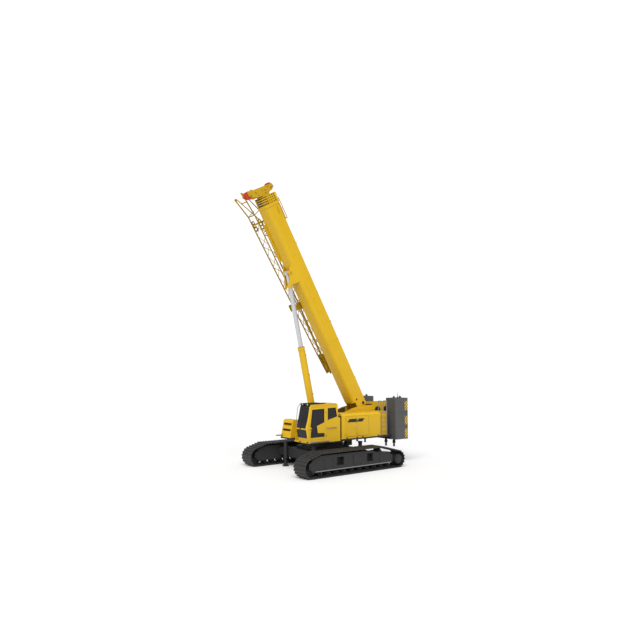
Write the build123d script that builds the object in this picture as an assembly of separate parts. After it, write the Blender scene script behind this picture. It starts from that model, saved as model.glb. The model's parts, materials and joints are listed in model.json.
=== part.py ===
"""Telescopic-boom crawler crane, parked with its boom raised.

Frame: +X forward, +Y left (the cab's side), +Z up. The origin is on the slewing axis at ground level.
All lengths are millimetres.
"""
import os
from math import acos, asin, atan2, ceil, cos, degrees, hypot, pi, radians, sin
from build123d import *

os.makedirs("parts", exist_ok=True)

# ---------------------------------------------------------------- driving dimensions
RUN_GAP = 0.08           # radial gap between a pin and its eye
SEAT_GAP = 0.3           # gap between pieces that sit against each other
DOOR_GAP = 8.0           # gap round a door or lid

# crawler tracks
TRACK_Y = 2380.0         # half the gauge
SHOE_WIDTH = 900.0
SHOE_PITCH = 216.0
SHOE_GAP = 26.0          # gap between two shoes
SHOE_DEPTH = 42.0        # how deep that gap reaches
BELT = 95.0              # shoe face to roller path
REAR_X, REAR_R = -2850.0, 450.0
FRONT_X, FRONT_R = 2825.0, 500.0
TOP_Z = 1190.0           # top of the upper run
TOP_REAR_X, TOP_FRONT_X = -1700.0, 2260.0
TOP_R = 210.0            # bend of the belt over the carrier rollers

# track frames
FRAME_HALF = 280.0       # half width of the box girder
FRAME_LOW, FRAME_TOP = 360.0, 900.0
CHEEK = 40.0             # side plates that hold idler and rollers
ROLLER_R = 100.0
ROLLER_COUNT = 10
CARRIER_R = 80.0
AXLE_R = 34.0
HUB_R = 250.0

# car body and slewing ring
BODY_HALF_X, BODY_HALF_Y = 1150.0, 1050.0
BODY_LOW, BODY_TOP = 470.0, 1110.0
BEAM_X, BEAM_HALF = 1120.0, 330.0
BEAM_LOW, BEAM_TOP = 500.0, 980.0
RING_R, RING_WIDTH = 1130.0, 270.0
RING_SPLIT = 1235.0      # height of the joint between the fixed and the turning ring
JACK_X, JACK_Y = 1560.0, 1230.0
JACK_R, JACK_ROD_R, JACK_PAD_R = 105.0, 70.0, 170.0
JACK_TOP, JACK_END = 1310.0, 420.0
JACK_PAD_LOW = 30.0      # the pads hang just clear of the ground

# turntable
DECK_LOW, DECK_TOP = 1456.0, 1540.0
FLOOR_LOW = 1360.0
PLATE_IN, PLATE = 475.0, 40.0       # side plates beside the boom
LUG_IN, LUG, LUG_R = 355.0, 60.0, 190.0    # lugs inside the boom's foot
REAR_X_END = -3640.0
SIDE_Y = 1500.0          # half width of the upper structure

# boom
LUFF = 60.0              # boom angle as parked
FOOT_X, FOOT_Z = -2490.0, 3280.0
FOOT_PIN_R = 75.0
BOOM_HALF, BOOM_UP, BOOM_DOWN = 450.0, 250.0, 600.0
BOOM_WALL = 14.0
BACK_EDGE, BELLY_R = 55.0, 230.0      # chamfer along the back, radius of the belly's corners
BASE_START, BASE_END = -120.0, 11950.0
SECTION_COUNT = 4        # telescoping sections inside the base
SECTION_SHRINK = 43.0    # how much slimmer each section is, a side
COLLAR = 115.0           # length of each section's end collar
COLLAR_RIM, FLANGE = 24.0, 20.0       # each collar's web lies this far below its two flanges
COLLAR_PADS = (-330.0, -210.0, -90.0, 30.0)   # lower edges of the pad blocks in each collar's sides
TAIL_STEP = 170.0        # each section starts this much further out
PIN_D, PIN_DOWN = 8350.0, 760.0     # luffing cylinder's upper pin, along and below the boom
EAR, EAR_TILT = 40.0, 20.0          # thickness and inward lean of the ears that hold that pin

# luffing cylinder
CYL_X, CYL_Z = 450.0, 1800.0        # lower pin
BARREL_R, BARREL_BORE, BARREL_END = 172.0, 150.0, 4610.0
BORE_START, GLAND = 200.0, 65.0
PISTON_AT, PISTON = 3400.0, 100.0   # where the piston stands as parked, from the foot pin
ROD_R = 118.0
EYE_R, EYE_HALF, CYL_PIN_R = 140.0, 110.0, 62.0
FOOT_EYE_R, FOOT_EYE_HALF = 200.0, 130.0

# cab
CAB_IN, CAB_OUT = 600.0, 1515.0
CAB_WALL = 50.0
CAB_REAR, CAB_LOW = 60.0, 1470.0

# machinery hood, left side
HOOD_FRONT, HOOD_REAR = -75.0, -3460.0
HOOD_IN = 560.0
HOOD_TOP = 2820.0
HOOD_WALL = 45.0
HOOD_EDGE = 110.0        # chamfer along the top
HOOD_FLARE, HOOD_FLARE_IN = 150.0, 35.0     # how far the front corner is cut back, along and inwards
NICHE_X, NICHE_DEPTH = -2780.0, 140.0

# counterweight
CW_FRONT, CW_REAR = -3694.0, -4675.0
CW_IN, CW_OUT = 999.0, 1786.0
CW_LOW, CW_TOP = 1277.0, 3533.0


# ---------------------------------------------------------------- helpers
def block(x0, x1, y0, y1, z0, z1):
    """Box between two corners."""
    return Pos((x0 + x1) / 2, (y0 + y1) / 2, (z0 + z1) / 2) * Box(abs(x1 - x0), abs(y1 - y0), abs(z1 - z0))


def side_face(points, y):
    """Face drawn in side view (x, z) at the given y, its normal towards -Y."""
    plane = Plane(origin=(0, y, 0), x_dir=(1, 0, 0), z_dir=(0, -1, 0))
    return plane * make_face(Polyline(*points, close=True))


def side_prism(points, y0, y1):
    """Side-view outline, filled between two y values."""
    low, high = min(y0, y1), max(y0, y1)
    return extrude(side_face(points, high), high - low)


def end_prism(points, x0, x1):
    """Outline in (y, z), filled between two x values."""
    plane = Plane(origin=(x0, 0, 0), x_dir=(0, 1, 0), z_dir=(1, 0, 0))
    return extrude(plane * make_face(Polyline(*points, close=True)), x1 - x0)


def pin_y(x, z, radius, y0, y1):
    """Round bar along Y."""
    return Pos(x, (y0 + y1) / 2, z) * Rot(90, 0, 0) * Cylinder(radius, abs(y1 - y0))


def post(x, y, radius, z0, z1):
    """Round bar along Z."""
    return Pos(x, y, (z0 + z1) / 2) * Cylinder(radius, z1 - z0)


def bar(start, end, radius, sides=6):
    """Straight strut between two points, of a few flat sides, or round where sides is 0."""
    a, b = Vector(*start), Vector(*end)
    plane = Plane(origin=a, z_dir=(b - a))
    section = Circle(radius) if sides == 0 else RegularPolygon(radius, sides)
    return extrude(plane * section, (b - a).length)


def mirrored(shape):
    """The same piece on the other side of the machine."""
    return mirror(shape, about=Plane.XZ)


def fused(pieces):
    """One shape from many."""
    pieces = list(pieces)
    return pieces[0] + pieces[1:] if len(pieces) > 1 else pieces[0]


def write(shape, node):
    export_step(shape, f"parts/{node}.step")


# ---------------------------------------------------------------- crawler belts
# x, z and radius of the rounds that the belt's outer face runs over, rear to front along the ground
ROUNDS = (
    (REAR_X, REAR_R, REAR_R),
    (FRONT_X, FRONT_R, FRONT_R),
    (TOP_FRONT_X, TOP_Z - TOP_R, TOP_R),
    (TOP_REAR_X, TOP_Z - TOP_R, TOP_R),
)


def belt_path():
    """Straight runs and arcs of the belt's outer face, anticlockwise seen from -Y."""
    angles = []
    for (x0, z0, r0), (x1, z1, r1) in zip(ROUNDS, ROUNDS[1:] + ROUNDS[:1]):
        heading = atan2(z1 - z0, x1 - x0)
        angles.append(heading - acos((r0 - r1) / hypot(x1 - x0, z1 - z0)))
    path = []
    for i, (x, z, r) in enumerate(ROUNDS):
        begin, end = angles[i - 1], angles[i]
        while end < begin:
            end += 2 * pi
        path.append(("arc", x, z, r, begin, end, r * (end - begin)))
        nx, nz, nr = ROUNDS[(i + 1) % len(ROUNDS)]
        start = (x + r * cos(end), z + r * sin(end))
        stop = (nx + nr * cos(end), nz + nr * sin(end))
        path.append(("run", start, stop, end, hypot(stop[0] - start[0], stop[1] - start[1])))
    return path


BELT_PATH = belt_path()
BELT_LENGTH = sum(piece[-1] for piece in BELT_PATH)


def on_belt(distance, depth):
    """Point at a distance along the belt, a depth inside its outer face."""
    distance %= BELT_LENGTH
    for piece in BELT_PATH:
        if distance <= piece[-1]:
            break
        distance -= piece[-1]
    if piece[0] == "arc":
        _, x, z, r, begin, _, _ = piece
        angle = begin + distance / r
        return x + (r - depth) * cos(angle), z + (r - depth) * sin(angle)
    _, start, stop, angle, length = piece
    share = distance / length
    return (start[0] + (stop[0] - start[0]) * share - depth * cos(angle),
            start[1] + (stop[1] - start[1]) * share - depth * sin(angle))


def belt(side):
    """Closed belt with its shoes in its outline."""
    count = round(BELT_LENGTH / SHOE_PITCH)
    pitch = BELT_LENGTH / count
    outline = []
    for k in range(count):
        begin, end = k * pitch + SHOE_GAP / 2, (k + 1) * pitch - SHOE_GAP / 2
        outline += [on_belt(begin, SHOE_DEPTH), on_belt(begin, 0), on_belt(end, 0), on_belt(end, SHOE_DEPTH)]
    y0, y1 = side * TRACK_Y - SHOE_WIDTH / 2, side * TRACK_Y + SHOE_WIDTH / 2
    inner = []
    for piece in BELT_PATH:
        if piece[0] == "arc":
            _, x, z, r, begin, end, _ = piece
            steps = max(2, ceil((end - begin) / radians(16)))
            step = (end - begin) / steps
            reach = (r - BELT) / cos(step / 2)
            inner += [(x + reach * cos(begin + step * (i + 0.5)), z + reach * sin(begin + step * (i + 0.5)))
                      for i in range(steps)]
    return side_prism(outline, y0, y1) - side_prism(inner, y0 - 1, y1 + 1)


# ---------------------------------------------------------------- track frames
def roller_places():
    """x of each lower roller."""
    first, last = REAR_X + 600, FRONT_X - 600
    return [first + (last - first) * i / (ROLLER_COUNT - 1) for i in range(ROLLER_COUNT)]


def carrier_places():
    return [TOP_REAR_X, (TOP_REAR_X + TOP_FRONT_X) / 2, TOP_FRONT_X]


def frame_outline(low, rear, front):
    """Side view of a plate of the track frame."""
    return [(rear, low + 60), (rear + 90, low), (front - 260, low), (front, low + 170), (front, FRAME_TOP - 190),
            (TOP_FRONT_X + 120, FRAME_TOP), (TOP_REAR_X - 60, FRAME_TOP), (rear, FRAME_TOP - 200)]


def track_frame(side):
    """Box girder with pockets, cheeks for the rollers and the idler, and carrier brackets."""
    y = side * TRACK_Y
    rear, front = REAR_X + 400, FRONT_X - 480
    girder = side_prism(frame_outline(FRAME_LOW, rear, front), y - FRAME_HALF, y + FRAME_HALF)
    outer = y + side * FRAME_HALF
    for x0, x1 in ((820, 1270), (-1110, -700)):
        girder -= block(x0, x1, outer - side * 210, outer + side * 5, 490, 1020)
    cheek_low = FRAME_LOW - 68
    cheek = frame_outline(cheek_low, REAR_X + 330, FRONT_X + 130)
    for face in (-1, 1):
        base = y + face * FRAME_HALF
        plate = side_prism(cheek, base, base + face * CHEEK)
        for x0, x1 in ((820, 1270), (-1110, -700)):
            plate -= block(x0, x1, base - 5, base + face * (CHEEK + 5), 490, 1020)
        girder += plate
    ledge = outer + side * CHEEK
    girder += block(REAR_X + 520, FRONT_X + 20, ledge, ledge + side * 22, cheek_low, cheek_low + 28)
    girder += side_prism([(170, 470), (-20, 470), (-60, 560), (-60, 840), (-20, 900), (170, 900), (210, 840),
                          (210, 560)], ledge, ledge + side * 26)
    for x in carrier_places():
        for face in (-1, 1):
            base = y + face * 190
            girder += side_prism([(x - 90, FRAME_TOP - 10), (x + 90, FRAME_TOP - 10), (x + 45, TOP_Z - BELT - 40),
                                  (x - 45, TOP_Z - BELT - 40)], base, base + face * 24)
    for x in roller_places():
        girder -= pin_y(x, BELT + ROLLER_R, AXLE_R, y - 400, y + 400)
    for x in carrier_places():
        girder -= pin_y(x, TOP_Z - BELT - CARRIER_R, AXLE_R - 8, y - 400, y + 400)
    girder -= pin_y(FRONT_X, FRONT_R, AXLE_R + 20, y - 400, y + 400)
    return girder


def roller(x, z, radius, y, half, axle, reach, flange=14):
    """Roller with two flanges on a through axle."""
    body = pin_y(x, z, radius, y - half, y + half)
    groove = pin_y(x, z, radius + 1, y - half * 0.35, y + half * 0.35)
    groove -= pin_y(x, z, radius - flange, y - half, y + half)
    return body - groove + pin_y(x, z, axle, y - reach, y + reach)


def running_gear(side):
    """Idler, sprocket, lower rollers and carrier rollers of one track."""
    y = side * TRACK_Y
    reach = FRAME_HALF + CHEEK + 14
    pieces = [roller(x, BELT + ROLLER_R - RUN_GAP, ROLLER_R - 1, y, 200, AXLE_R - RUN_GAP, reach)
              for x in roller_places()]
    pieces += [roller(x, TOP_Z - BELT - CARRIER_R, CARRIER_R - RUN_GAP, y, 150, AXLE_R - 8 - RUN_GAP, 214 + 12)
               for x in carrier_places()]
    idler_r = FRONT_R - BELT - RUN_GAP
    idler = pin_y(FRONT_X, FRONT_R, idler_r, y - 120, y + 120)
    for face in (-1, 1):
        idler -= pin_y(FRONT_X, FRONT_R, idler_r - 60, y + face * 70, y + face * 130)
    idler += pin_y(FRONT_X, FRONT_R, 110, y - 150, y + 150)
    idler += pin_y(FRONT_X, FRONT_R, AXLE_R + 20 - RUN_GAP, y - reach, y + reach)
    pieces.append(idler)
    return Compound(children=pieces)


def final_drive(side):
    """Sprocket, planetary hub and its flange on the frame's rear end."""
    y = side * TRACK_Y
    inner = REAR_R - BELT - RUN_GAP
    teeth = 14
    points = []
    for k in range(teeth):
        for share, radius in ((0.0, inner - 38), (0.22, inner - 38), (0.36, inner), (0.64, inner), (0.78, inner - 38)):
            angle = 2 * pi * (k + share) / teeth
            points.append((REAR_X + radius * cos(angle), REAR_R + radius * sin(angle)))
    drive = side_prism(points, y - 60, y + 60)
    drive += pin_y(REAR_X, REAR_R, HUB_R, y, y + side * 395)
    drive += pin_y(REAR_X, REAR_R, HUB_R - 60, y, y + side * 425)
    drive += pin_y(REAR_X, REAR_R, HUB_R - 20, y, y - side * 250)
    arm = side_prism([(REAR_X - 60, REAR_R - 190), (REAR_X + 400 - RUN_GAP, FRAME_LOW + 70),
                      (REAR_X + 400 - RUN_GAP, FRAME_TOP - 215), (REAR_X - 60, REAR_R + 190)],
                     y - side * (FRAME_HALF - 90), y - side * (FRAME_HALF - RUN_GAP))
    return drive + arm


# ---------------------------------------------------------------- car body
def car_body():
    """Centre box with four arms that reach the track frames."""
    low, top, hx, hy = BODY_LOW, BODY_TOP, BODY_HALF_X, BODY_HALF_Y
    body = block(-hx, hx, -hy, hy, low, top)
    body = chamfer(body.edges().filter_by(Axis.Z), 260)
    reach = TRACK_Y - FRAME_HALF - CHEEK
    for x in (-BEAM_X, BEAM_X):
        beam = end_prism([(-reach, BEAM_LOW + 60), (-hy, BEAM_LOW), (hy, BEAM_LOW), (reach, BEAM_LOW + 60),
                          (reach, FRAME_TOP - 20), (hy, BEAM_TOP), (-hy, BEAM_TOP), (-reach, FRAME_TOP - 20)],
                         x - BEAM_HALF, x + BEAM_HALF)
        body += beam
    body += post(0, 0, RING_R + 40, top, top + 25)
    body -= post(0, 0, RING_R - RING_WIDTH - 60, top - 180, top + 30)
    for x, y in jack_places():
        inward = -1 if x > 0 else 1
        across = -1 if y > 0 else 1
        body += block(x + inward * 40, x + inward * 420, y + across * 60, y - across * 60, 820, 1010)
        body += post(x, y, JACK_R, JACK_END, JACK_TOP - 40) + post(x, y, JACK_R + 18, JACK_TOP - 60, JACK_TOP)
        body -= post(x, y, JACK_ROD_R + RUN_GAP, JACK_END - 5, JACK_TOP - 90)
    return body


def jack_places():
    return [(sx * JACK_X, sy * JACK_Y) for sx in (1, -1) for sy in (1, -1)]


def jack_leg(x, y):
    """Jack rod with its round foot."""
    leg = post(x, y, JACK_ROD_R, JACK_PAD_LOW + 40, JACK_END + 380)
    pad = post(x, y, JACK_PAD_R, JACK_PAD_LOW, JACK_PAD_LOW + 34)
    return leg + pad + post(x, y, JACK_ROD_R + 35, JACK_PAD_LOW + 30, JACK_PAD_LOW + 95)


def slew_ring_fixed():
    ring = post(0, 0, RING_R, BODY_TOP + 25, RING_SPLIT)
    return ring - post(0, 0, RING_R - RING_WIDTH, BODY_TOP, RING_SPLIT + 5)


def slew_ring_turning():
    ring = post(0, 0, RING_R - 40, RING_SPLIT + RUN_GAP, FLOOR_LOW)
    return ring - post(0, 0, RING_R - RING_WIDTH + 30, RING_SPLIT, FLOOR_LOW + 5)


# ---------------------------------------------------------------- turntable
# side plate beside the boom, x and z
PLATE_OUTLINE = (
    (1450, FLOOR_LOW + 80), (1450, 1780), (900, 1990), (-300, 2560), (-1050, 2800), (-1750, 3020),
    (FOOT_X + 330, FOOT_Z - 190), (FOOT_X - 330, FOOT_Z - 150), (-3300, FOOT_Z - 150), (-3300, 2500), (-3640, 2300),
    (-3640, FLOOR_LOW + 80),
)
CRADLE_LOW, CRADLE_TOP = 2300.0, 2380.0     # cross plate that carries the lugs


def turntable():
    """Floor plate, side plates, lugs for the boom's foot on a cross plate, and the cylinder's lugs."""
    floor = block(-3640, 1500, -PLATE_IN - PLATE, PLATE_IN + PLATE, FLOOR_LOW, FLOOR_LOW + 80)
    floor += post(0, 0, RING_R, FLOOR_LOW, FLOOR_LOW + 60)
    frame = floor
    for side in (-1, 1):
        frame += side_prism(PLATE_OUTLINE, side * PLATE_IN, side * (PLATE_IN + PLATE))
        lug = side_prism([(FOOT_X - 320, CRADLE_LOW + 5), (FOOT_X + 320, CRADLE_LOW + 5), (FOOT_X + LUG_R, FOOT_Z),
                          (FOOT_X - LUG_R, FOOT_Z)], side * LUG_IN, side * (LUG_IN + LUG))
        lug += pin_y(FOOT_X, FOOT_Z, LUG_R, side * LUG_IN, side * (LUG_IN + LUG))
        frame += lug - pin_y(FOOT_X, FOOT_Z, FOOT_PIN_R, side * (LUG_IN - 5), side * (LUG_IN + LUG + 5))
        lug = side_prism([(CYL_X - 300, FLOOR_LOW + 75), (CYL_X + 300, FLOOR_LOW + 75), (CYL_X + 150, CYL_Z + 90),
                          (CYL_X + 70, CYL_Z + 150), (CYL_X - 70, CYL_Z + 150), (CYL_X - 150, CYL_Z + 90)],
                         side * 190, side * 240)
        lug -= pin_y(CYL_X, CYL_Z, CYL_PIN_R, side * 180, side * 250)
        frame += lug
    frame += block(FOOT_X - 360, FOOT_X + 360, -PLATE_IN - 5, PLATE_IN + 5, CRADLE_LOW, CRADLE_TOP)
    frame += block(-1140, -1100, -PLATE_IN, PLATE_IN, FLOOR_LOW + 75, 2250)
    frame += block(-3300, -3260, -PLATE_IN, PLATE_IN, FLOOR_LOW + 75, 2650)
    return frame


def pins():
    """Boom foot pins and the cylinder's foot pins, each short so that the well between them stays open."""
    pieces = []
    for side in (-1, 1):
        pieces.append(pin_y(FOOT_X, FOOT_Z, FOOT_PIN_R - RUN_GAP, side * (LUG_IN - 12), side * (BOOM_HALF + 12)))
        pieces.append(pin_y(CYL_X, CYL_Z, CYL_PIN_R - RUN_GAP, side * 186, side * 262))
    return Compound(children=pieces)


def luff_pin():
    """Pin through the boom's ears and the rod's eye, in the boom's own frame."""
    reach = EYE_HALF + 225
    return pin_y(PIN_D, -PIN_DOWN, CYL_PIN_R - RUN_GAP, -reach, reach)


def decks():
    """Platforms on both sides of the turntable, with their outriggers to it."""
    inner = PLATE_IN + PLATE + RUN_GAP
    left = block(REAR_X_END, CAB_REAR - 10, inner, SIDE_Y, DECK_LOW, DECK_TOP)
    left += block(-300, CAB_REAR - 15, CAB_IN + 60, SIDE_Y - 40, FLOOR_LOW + 62, DECK_LOW + 10)
    left += block(-310, 2020, CAB_IN + 60, SIDE_Y - 40, FLOOR_LOW + 62, CAB_LOW - SEAT_GAP)
    left += block(-980, -620, 1000, 1240, 1150, DECK_LOW + 10)
    right = block(REAR_X_END, 1700, -inner, -SIDE_Y, DECK_LOW, DECK_TOP)
    return left, right


# ---------------------------------------------------------------- machinery hood on the left
HOOD_DOORS = ((-350.0, -1060.0), (-1150.0, -1930.0))   # front and rear edge of each side door
HOOD_DOOR_LOW, HOOD_DOOR_TOP = 1640.0, 2680.0


def hood_section(inset):
    """Hood's outline in (y, z), moved in by a wall."""
    low, top = DECK_TOP, HOOD_TOP
    return [(HOOD_IN + inset, low), (SIDE_Y - inset, low), (SIDE_Y - inset, top - HOOD_EDGE - inset * 0.4),
            (SIDE_Y - HOOD_EDGE - inset * 0.4, top - inset), (HOOD_IN + inset, top - inset)]


def hood_left():
    """Hollow hood with two door openings and a niche for the ladder."""
    hood = end_prism(hood_section(0), HOOD_REAR, HOOD_FRONT)
    flare = Plane.XY.offset(DECK_TOP - 5) * make_face(Polyline(
        (HOOD_FRONT, SIDE_Y - HOOD_FLARE_IN), (HOOD_FRONT - HOOD_FLARE, SIDE_Y), (HOOD_FRONT - HOOD_FLARE, SIDE_Y + 5),
        (HOOD_FRONT + 5, SIDE_Y + 5), (HOOD_FRONT + 5, SIDE_Y - HOOD_FLARE_IN), close=True))
    hood -= extrude(flare, HOOD_TOP - DECK_TOP + 10)
    hood -= block(HOOD_REAR - 5, NICHE_X, SIDE_Y - NICHE_DEPTH, SIDE_Y + 5, DECK_TOP - 5, HOOD_TOP + 5)
    hood -= end_prism(hood_section(HOOD_WALL), NICHE_X + HOOD_WALL, HOOD_FRONT - HOOD_WALL)
    hood -= block(HOOD_REAR + HOOD_WALL, NICHE_X + HOOD_WALL + 5, HOOD_IN + HOOD_WALL,
                  SIDE_Y - NICHE_DEPTH - HOOD_WALL, DECK_TOP - 5, HOOD_TOP - HOOD_WALL)
    for front, rear in HOOD_DOORS:
        hood -= block(rear - DOOR_GAP, front + DOOR_GAP, SIDE_Y - HOOD_WALL - 5, SIDE_Y + 5,
                      HOOD_DOOR_LOW - DOOR_GAP, HOOD_DOOR_TOP + DOOR_GAP)
        for z in hinge_heights():
            hood += block(front + DOOR_GAP - 1, front + 60, SIDE_Y - 2, SIDE_Y + 16, z - 60, z - 22)
            hood += post(front + 10, SIDE_Y + 22, 11, z - 60, z + 60)
    return hood


def hinge_heights():
    return (HOOD_DOOR_LOW + 160, HOOD_DOOR_TOP - 160)


def hood_door(front, rear):
    """Side door, as thick as the hood's wall, with its hinge knuckles and latch."""
    door = block(rear, front, SIDE_Y - HOOD_WALL, SIDE_Y, HOOD_DOOR_LOW, HOOD_DOOR_TOP)
    door = chamfer(door.edges().group_by(Axis.Y)[-1], 8)
    for z in hinge_heights():
        door += block(front - 70, front - 2, SIDE_Y - 4, SIDE_Y + 14, z - 20, z + 60)
        door += block(front - 10, front + 10, SIDE_Y + 3, SIDE_Y + 14, z - 20, z + 60)
        door += post(front + 10, SIDE_Y + 22, 20, z - 20, z + 60)
        door -= post(front + 10, SIDE_Y + 22, 11 + RUN_GAP, z - 25, z + 65)
    door += Pos(rear + 75, SIDE_Y + 4, 2150) * Rot(90, 0, 0) * Cylinder(45, 12)
    return door


def engine():
    """Engine and pumps as one plain mass."""
    return block(-2250, -620, 680, 1330, DECK_TOP, 2450)


# ---------------------------------------------------------------- right side
def front_box():
    """Stepped locker at the front right, its sloping front holding two step recesses."""
    outer, inner = -SIDE_Y + 80, -(PLATE_IN + PLATE + 45)
    box = side_prism([(1210, DECK_TOP), (1750, DECK_TOP), (1560, 2430), (1510, 2465), (1210, 2465)], outer, inner)
    for z0, z1 in ((1870, 1985), (2165, 2290)):
        box -= block(1500, 1800, outer + 75, inner - 75, z0, z1)
    return box


def tank_right():
    """Fuel and oil tanks along the right side."""
    outer, inner = -SIDE_Y, -(PLATE_IN + PLATE + 45)
    tank = block(-900, 1160, outer, inner, DECK_TOP, 2300)
    tank = chamfer(tank.edges().filter_by(Axis.X), 70)
    return tank


def hood_right():
    """Rear right hood over the valves and the cooler."""
    outer, inner = -SIDE_Y, -HOOD_IN
    hood = end_prism([(-y, z) for y, z in hood_section(0)], HOOD_REAR, -960)
    for i in range(9):
        x = -1700 - i * 130
        hood -= block(x - 45, x + 45, outer - 5, outer + 30, 1800, 2550)
    return hood


# ---------------------------------------------------------------- counterweight
def counterweight_wing(side):
    """Three stacked blocks with lifting lugs on top."""
    wing = block(CW_REAR, CW_FRONT, side * CW_IN, side * CW_OUT, CW_LOW, CW_TOP)
    wing = chamfer(wing.edges().filter_by(Axis.Z), 30)
    for z in (1960, 2740):
        ring = block(CW_REAR - 5, CW_FRONT + 5, side * (CW_IN - 5), side * (CW_OUT + 5), z - 6, z + 6)
        ring -= block(CW_REAR + 12, CW_FRONT - 12, side * (CW_IN + 12), side * (CW_OUT - 12), z - 10, z + 10)
        wing -= ring
    for x in (CW_FRONT - 260, CW_REAR + 240):
        lug = side_prism([(x - 90, CW_TOP - 2), (x + 90, CW_TOP - 2), (x + 50, CW_TOP + 90), (x - 50, CW_TOP + 90)],
                         side * (CW_IN + 370), side * (CW_IN + 410))
        lug -= pin_y(x, CW_TOP + 45, 24, side * (CW_IN + 300), side * (CW_IN + 480))
        wing += lug
    return wing


def counterweight_base():
    """Slab between the wings, on the turntable's rear end."""
    front = REAR_X_END - RUN_GAP
    slab = block(CW_REAR, front, -CW_IN + RUN_GAP, CW_IN - RUN_GAP, CW_LOW, 2050)
    for side in (-1, 1):
        slab += block(CW_FRONT + RUN_GAP, front, side * (CW_IN - 5), side * SIDE_Y, CW_LOW, DECK_LOW - 6)
    return slab


# ---------------------------------------------------------------- winches
WINCHES = {"main": (-3640.0, 2830.0), "auxiliary": (-4300.0, 2830.0)}
DRUM_R, FLANGE_R, DRUM_HALF = 205.0, 330.0, 330.0


def winch_drum(x, z):
    """Grooved drum between two flanges, on its shaft."""
    drum = pin_y(x, z, DRUM_R, -DRUM_HALF, DRUM_HALF)
    for side in (-1, 1):
        drum += pin_y(x, z, FLANGE_R, side * DRUM_HALF, side * (DRUM_HALF - 28))
    return drum + pin_y(x, z, 70 - RUN_GAP, -DRUM_HALF - 75, DRUM_HALF + 75)


def winch_frame():
    """Bearing plates and ties behind the boom foot."""
    frame = block(-4620, -3310, -430, 430, 2050.5, 2110)
    for side in (-1, 1):
        plate = side_prism([(-3310, 2050.5), (-3310, 3270), (-4620, 3270), (-4620, 2050.5)], side * 360, side * 400)
        for x0, x1, z0, z1 in ((-4560, -4010, 2300, 2560), (-3930, -3390, 2300, 2560)):
            plate -= block(x0, x1, side * 350, side * 410, z0, z1)
        for x, z in WINCHES.values():
            plate -= pin_y(x, z, 70, side * 350, side * 410)
        frame += plate
    for x in (-3345, -4585):
        frame += block(x - 35, x + 35, -360, 360, 3170, 3270)
    return frame


# ---------------------------------------------------------------- boom
BOOM_PLANE = Plane(origin=(FOOT_X, 0, FOOT_Z), x_dir=(cos(radians(LUFF)), 0, sin(radians(LUFF))),
                   z_dir=(-sin(radians(LUFF)), 0, cos(radians(LUFF))))
BOOM = BOOM_PLANE.location      # x along the boom, y left, z towards its back


def solid_tube(inset, start, end):
    """Boom section, filled: flat back and sides, and a belly whose round corners share one centre line."""
    half, up, down = BOOM_HALF - inset, BOOM_UP - inset, BOOM_DOWN - inset
    flat = make_face(Polyline((-half + BACK_EDGE, up), (-half, up - BACK_EDGE), (-half, -down), (half, -down),
                              (half, up - BACK_EDGE), (half - BACK_EDGE, up), close=True))
    flat = fillet(flat.vertices().group_by(Axis.Y)[0], BELLY_R - inset)
    plane = Plane(origin=(start, 0, 0), x_dir=(0, 1, 0), z_dir=(1, 0, 0))
    return extrude(plane * flat, end - start)


def tube(inset, wall, start, end):
    return solid_tube(inset, start, end) - solid_tube(inset + wall, start - 5, end + 5)


def boom_base():
    """Base section with the brackets that hold the luffing cylinder's rod."""
    base = tube(0, BOOM_WALL, BASE_START, BASE_END)
    for side in (-1, 1):
        base += pin_y(0, 0, 150, side * (LUG_IN + LUG + 9), side * (BOOM_HALF - BOOM_WALL + 1))
        base -= pin_y(0, 0, FOOT_PIN_R, side * (LUG_IN + LUG), side * (BOOM_HALF + 20))
    # the belly is open at the foot, where the lugs come in
    reach = LUG_IN + LUG + 15
    base -= block(BASE_START - 5, LUG_R + 110, -reach, reach, -BOOM_DOWN - 5, -LUG_R - 160)
    # end stiffener of the base section
    rim = solid_tube(-18, BASE_END - 130, BASE_END)
    base += rim - solid_tube(2, BASE_END - 140, BASE_END + 5)
    for side in (-1, 1):
        base += cylinder_bracket(side)
    base -= solid_tube(BOOM_WALL, PIN_D - 820, PIN_D + 680)
    # guide rail for the stowed jib, right lower corner
    base += block(PIN_D + 650, BASE_END - 870, -355, -285, -BOOM_DOWN - 85, -BOOM_DOWN + 40)
    # twin rails on posts along the back
    for y in (BOOM_HALF - 15, BOOM_HALF - 140):
        base += bar((BASE_END - 1030, y, BOOM_UP + 90), (BASE_END + 140, y, BOOM_UP + 90), 14, 4)
    for x in (BASE_END - 1010, BASE_END - 450, BASE_END - 50):
        base += block(x - 12, x + 12, BOOM_HALF - 150, BOOM_HALF - 60, BOOM_UP - 5, BOOM_UP + 90)
        base += block(x - 12, x + 12, BOOM_HALF - 150, BOOM_HALF - 5, BOOM_UP + 78, BOOM_UP + 98)
    return base


# outline of an ear, along the boom and down from its pin
EAR_OUTLINE = ((630, -400), (210, 0), (-50, 120), (-300, 205), (-630, 485), (-770, 390), (-595, 240),
               (-630, -120), (-610, -400))


def cylinder_bracket(side):
    """Ear that leans in from the boom's side to the rod's pin, with its boss."""
    lean = side * EAR_TILT
    rise = 1 / cos(radians(EAR_TILT))
    top = PIN_DOWN + EAR_OUTLINE[0][1]
    plane = Plane(origin=(PIN_D, side * (BOOM_HALF - 2), -top), x_dir=(1, 0, 0),
                  z_dir=(0, side * cos(radians(lean)), -sin(radians(EAR_TILT))))
    points = [(x, side * (z - EAR_OUTLINE[0][1]) * rise) for x, z in EAR_OUTLINE]
    flat = plane * make_face(Polyline(*points, close=True))
    plate = extrude(flat, -EAR)
    inner = EYE_HALF + 8
    at_pin = BOOM_HALF - (PIN_DOWN - top) * sin(radians(EAR_TILT)) * rise
    plate += pin_y(PIN_D, -PIN_DOWN, CYL_PIN_R + 55, side * inner, side * (at_pin - 15))
    return plate - pin_y(PIN_D, -PIN_DOWN, CYL_PIN_R, side * (inner - 5), side * (BOOM_HALF + 50))


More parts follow.
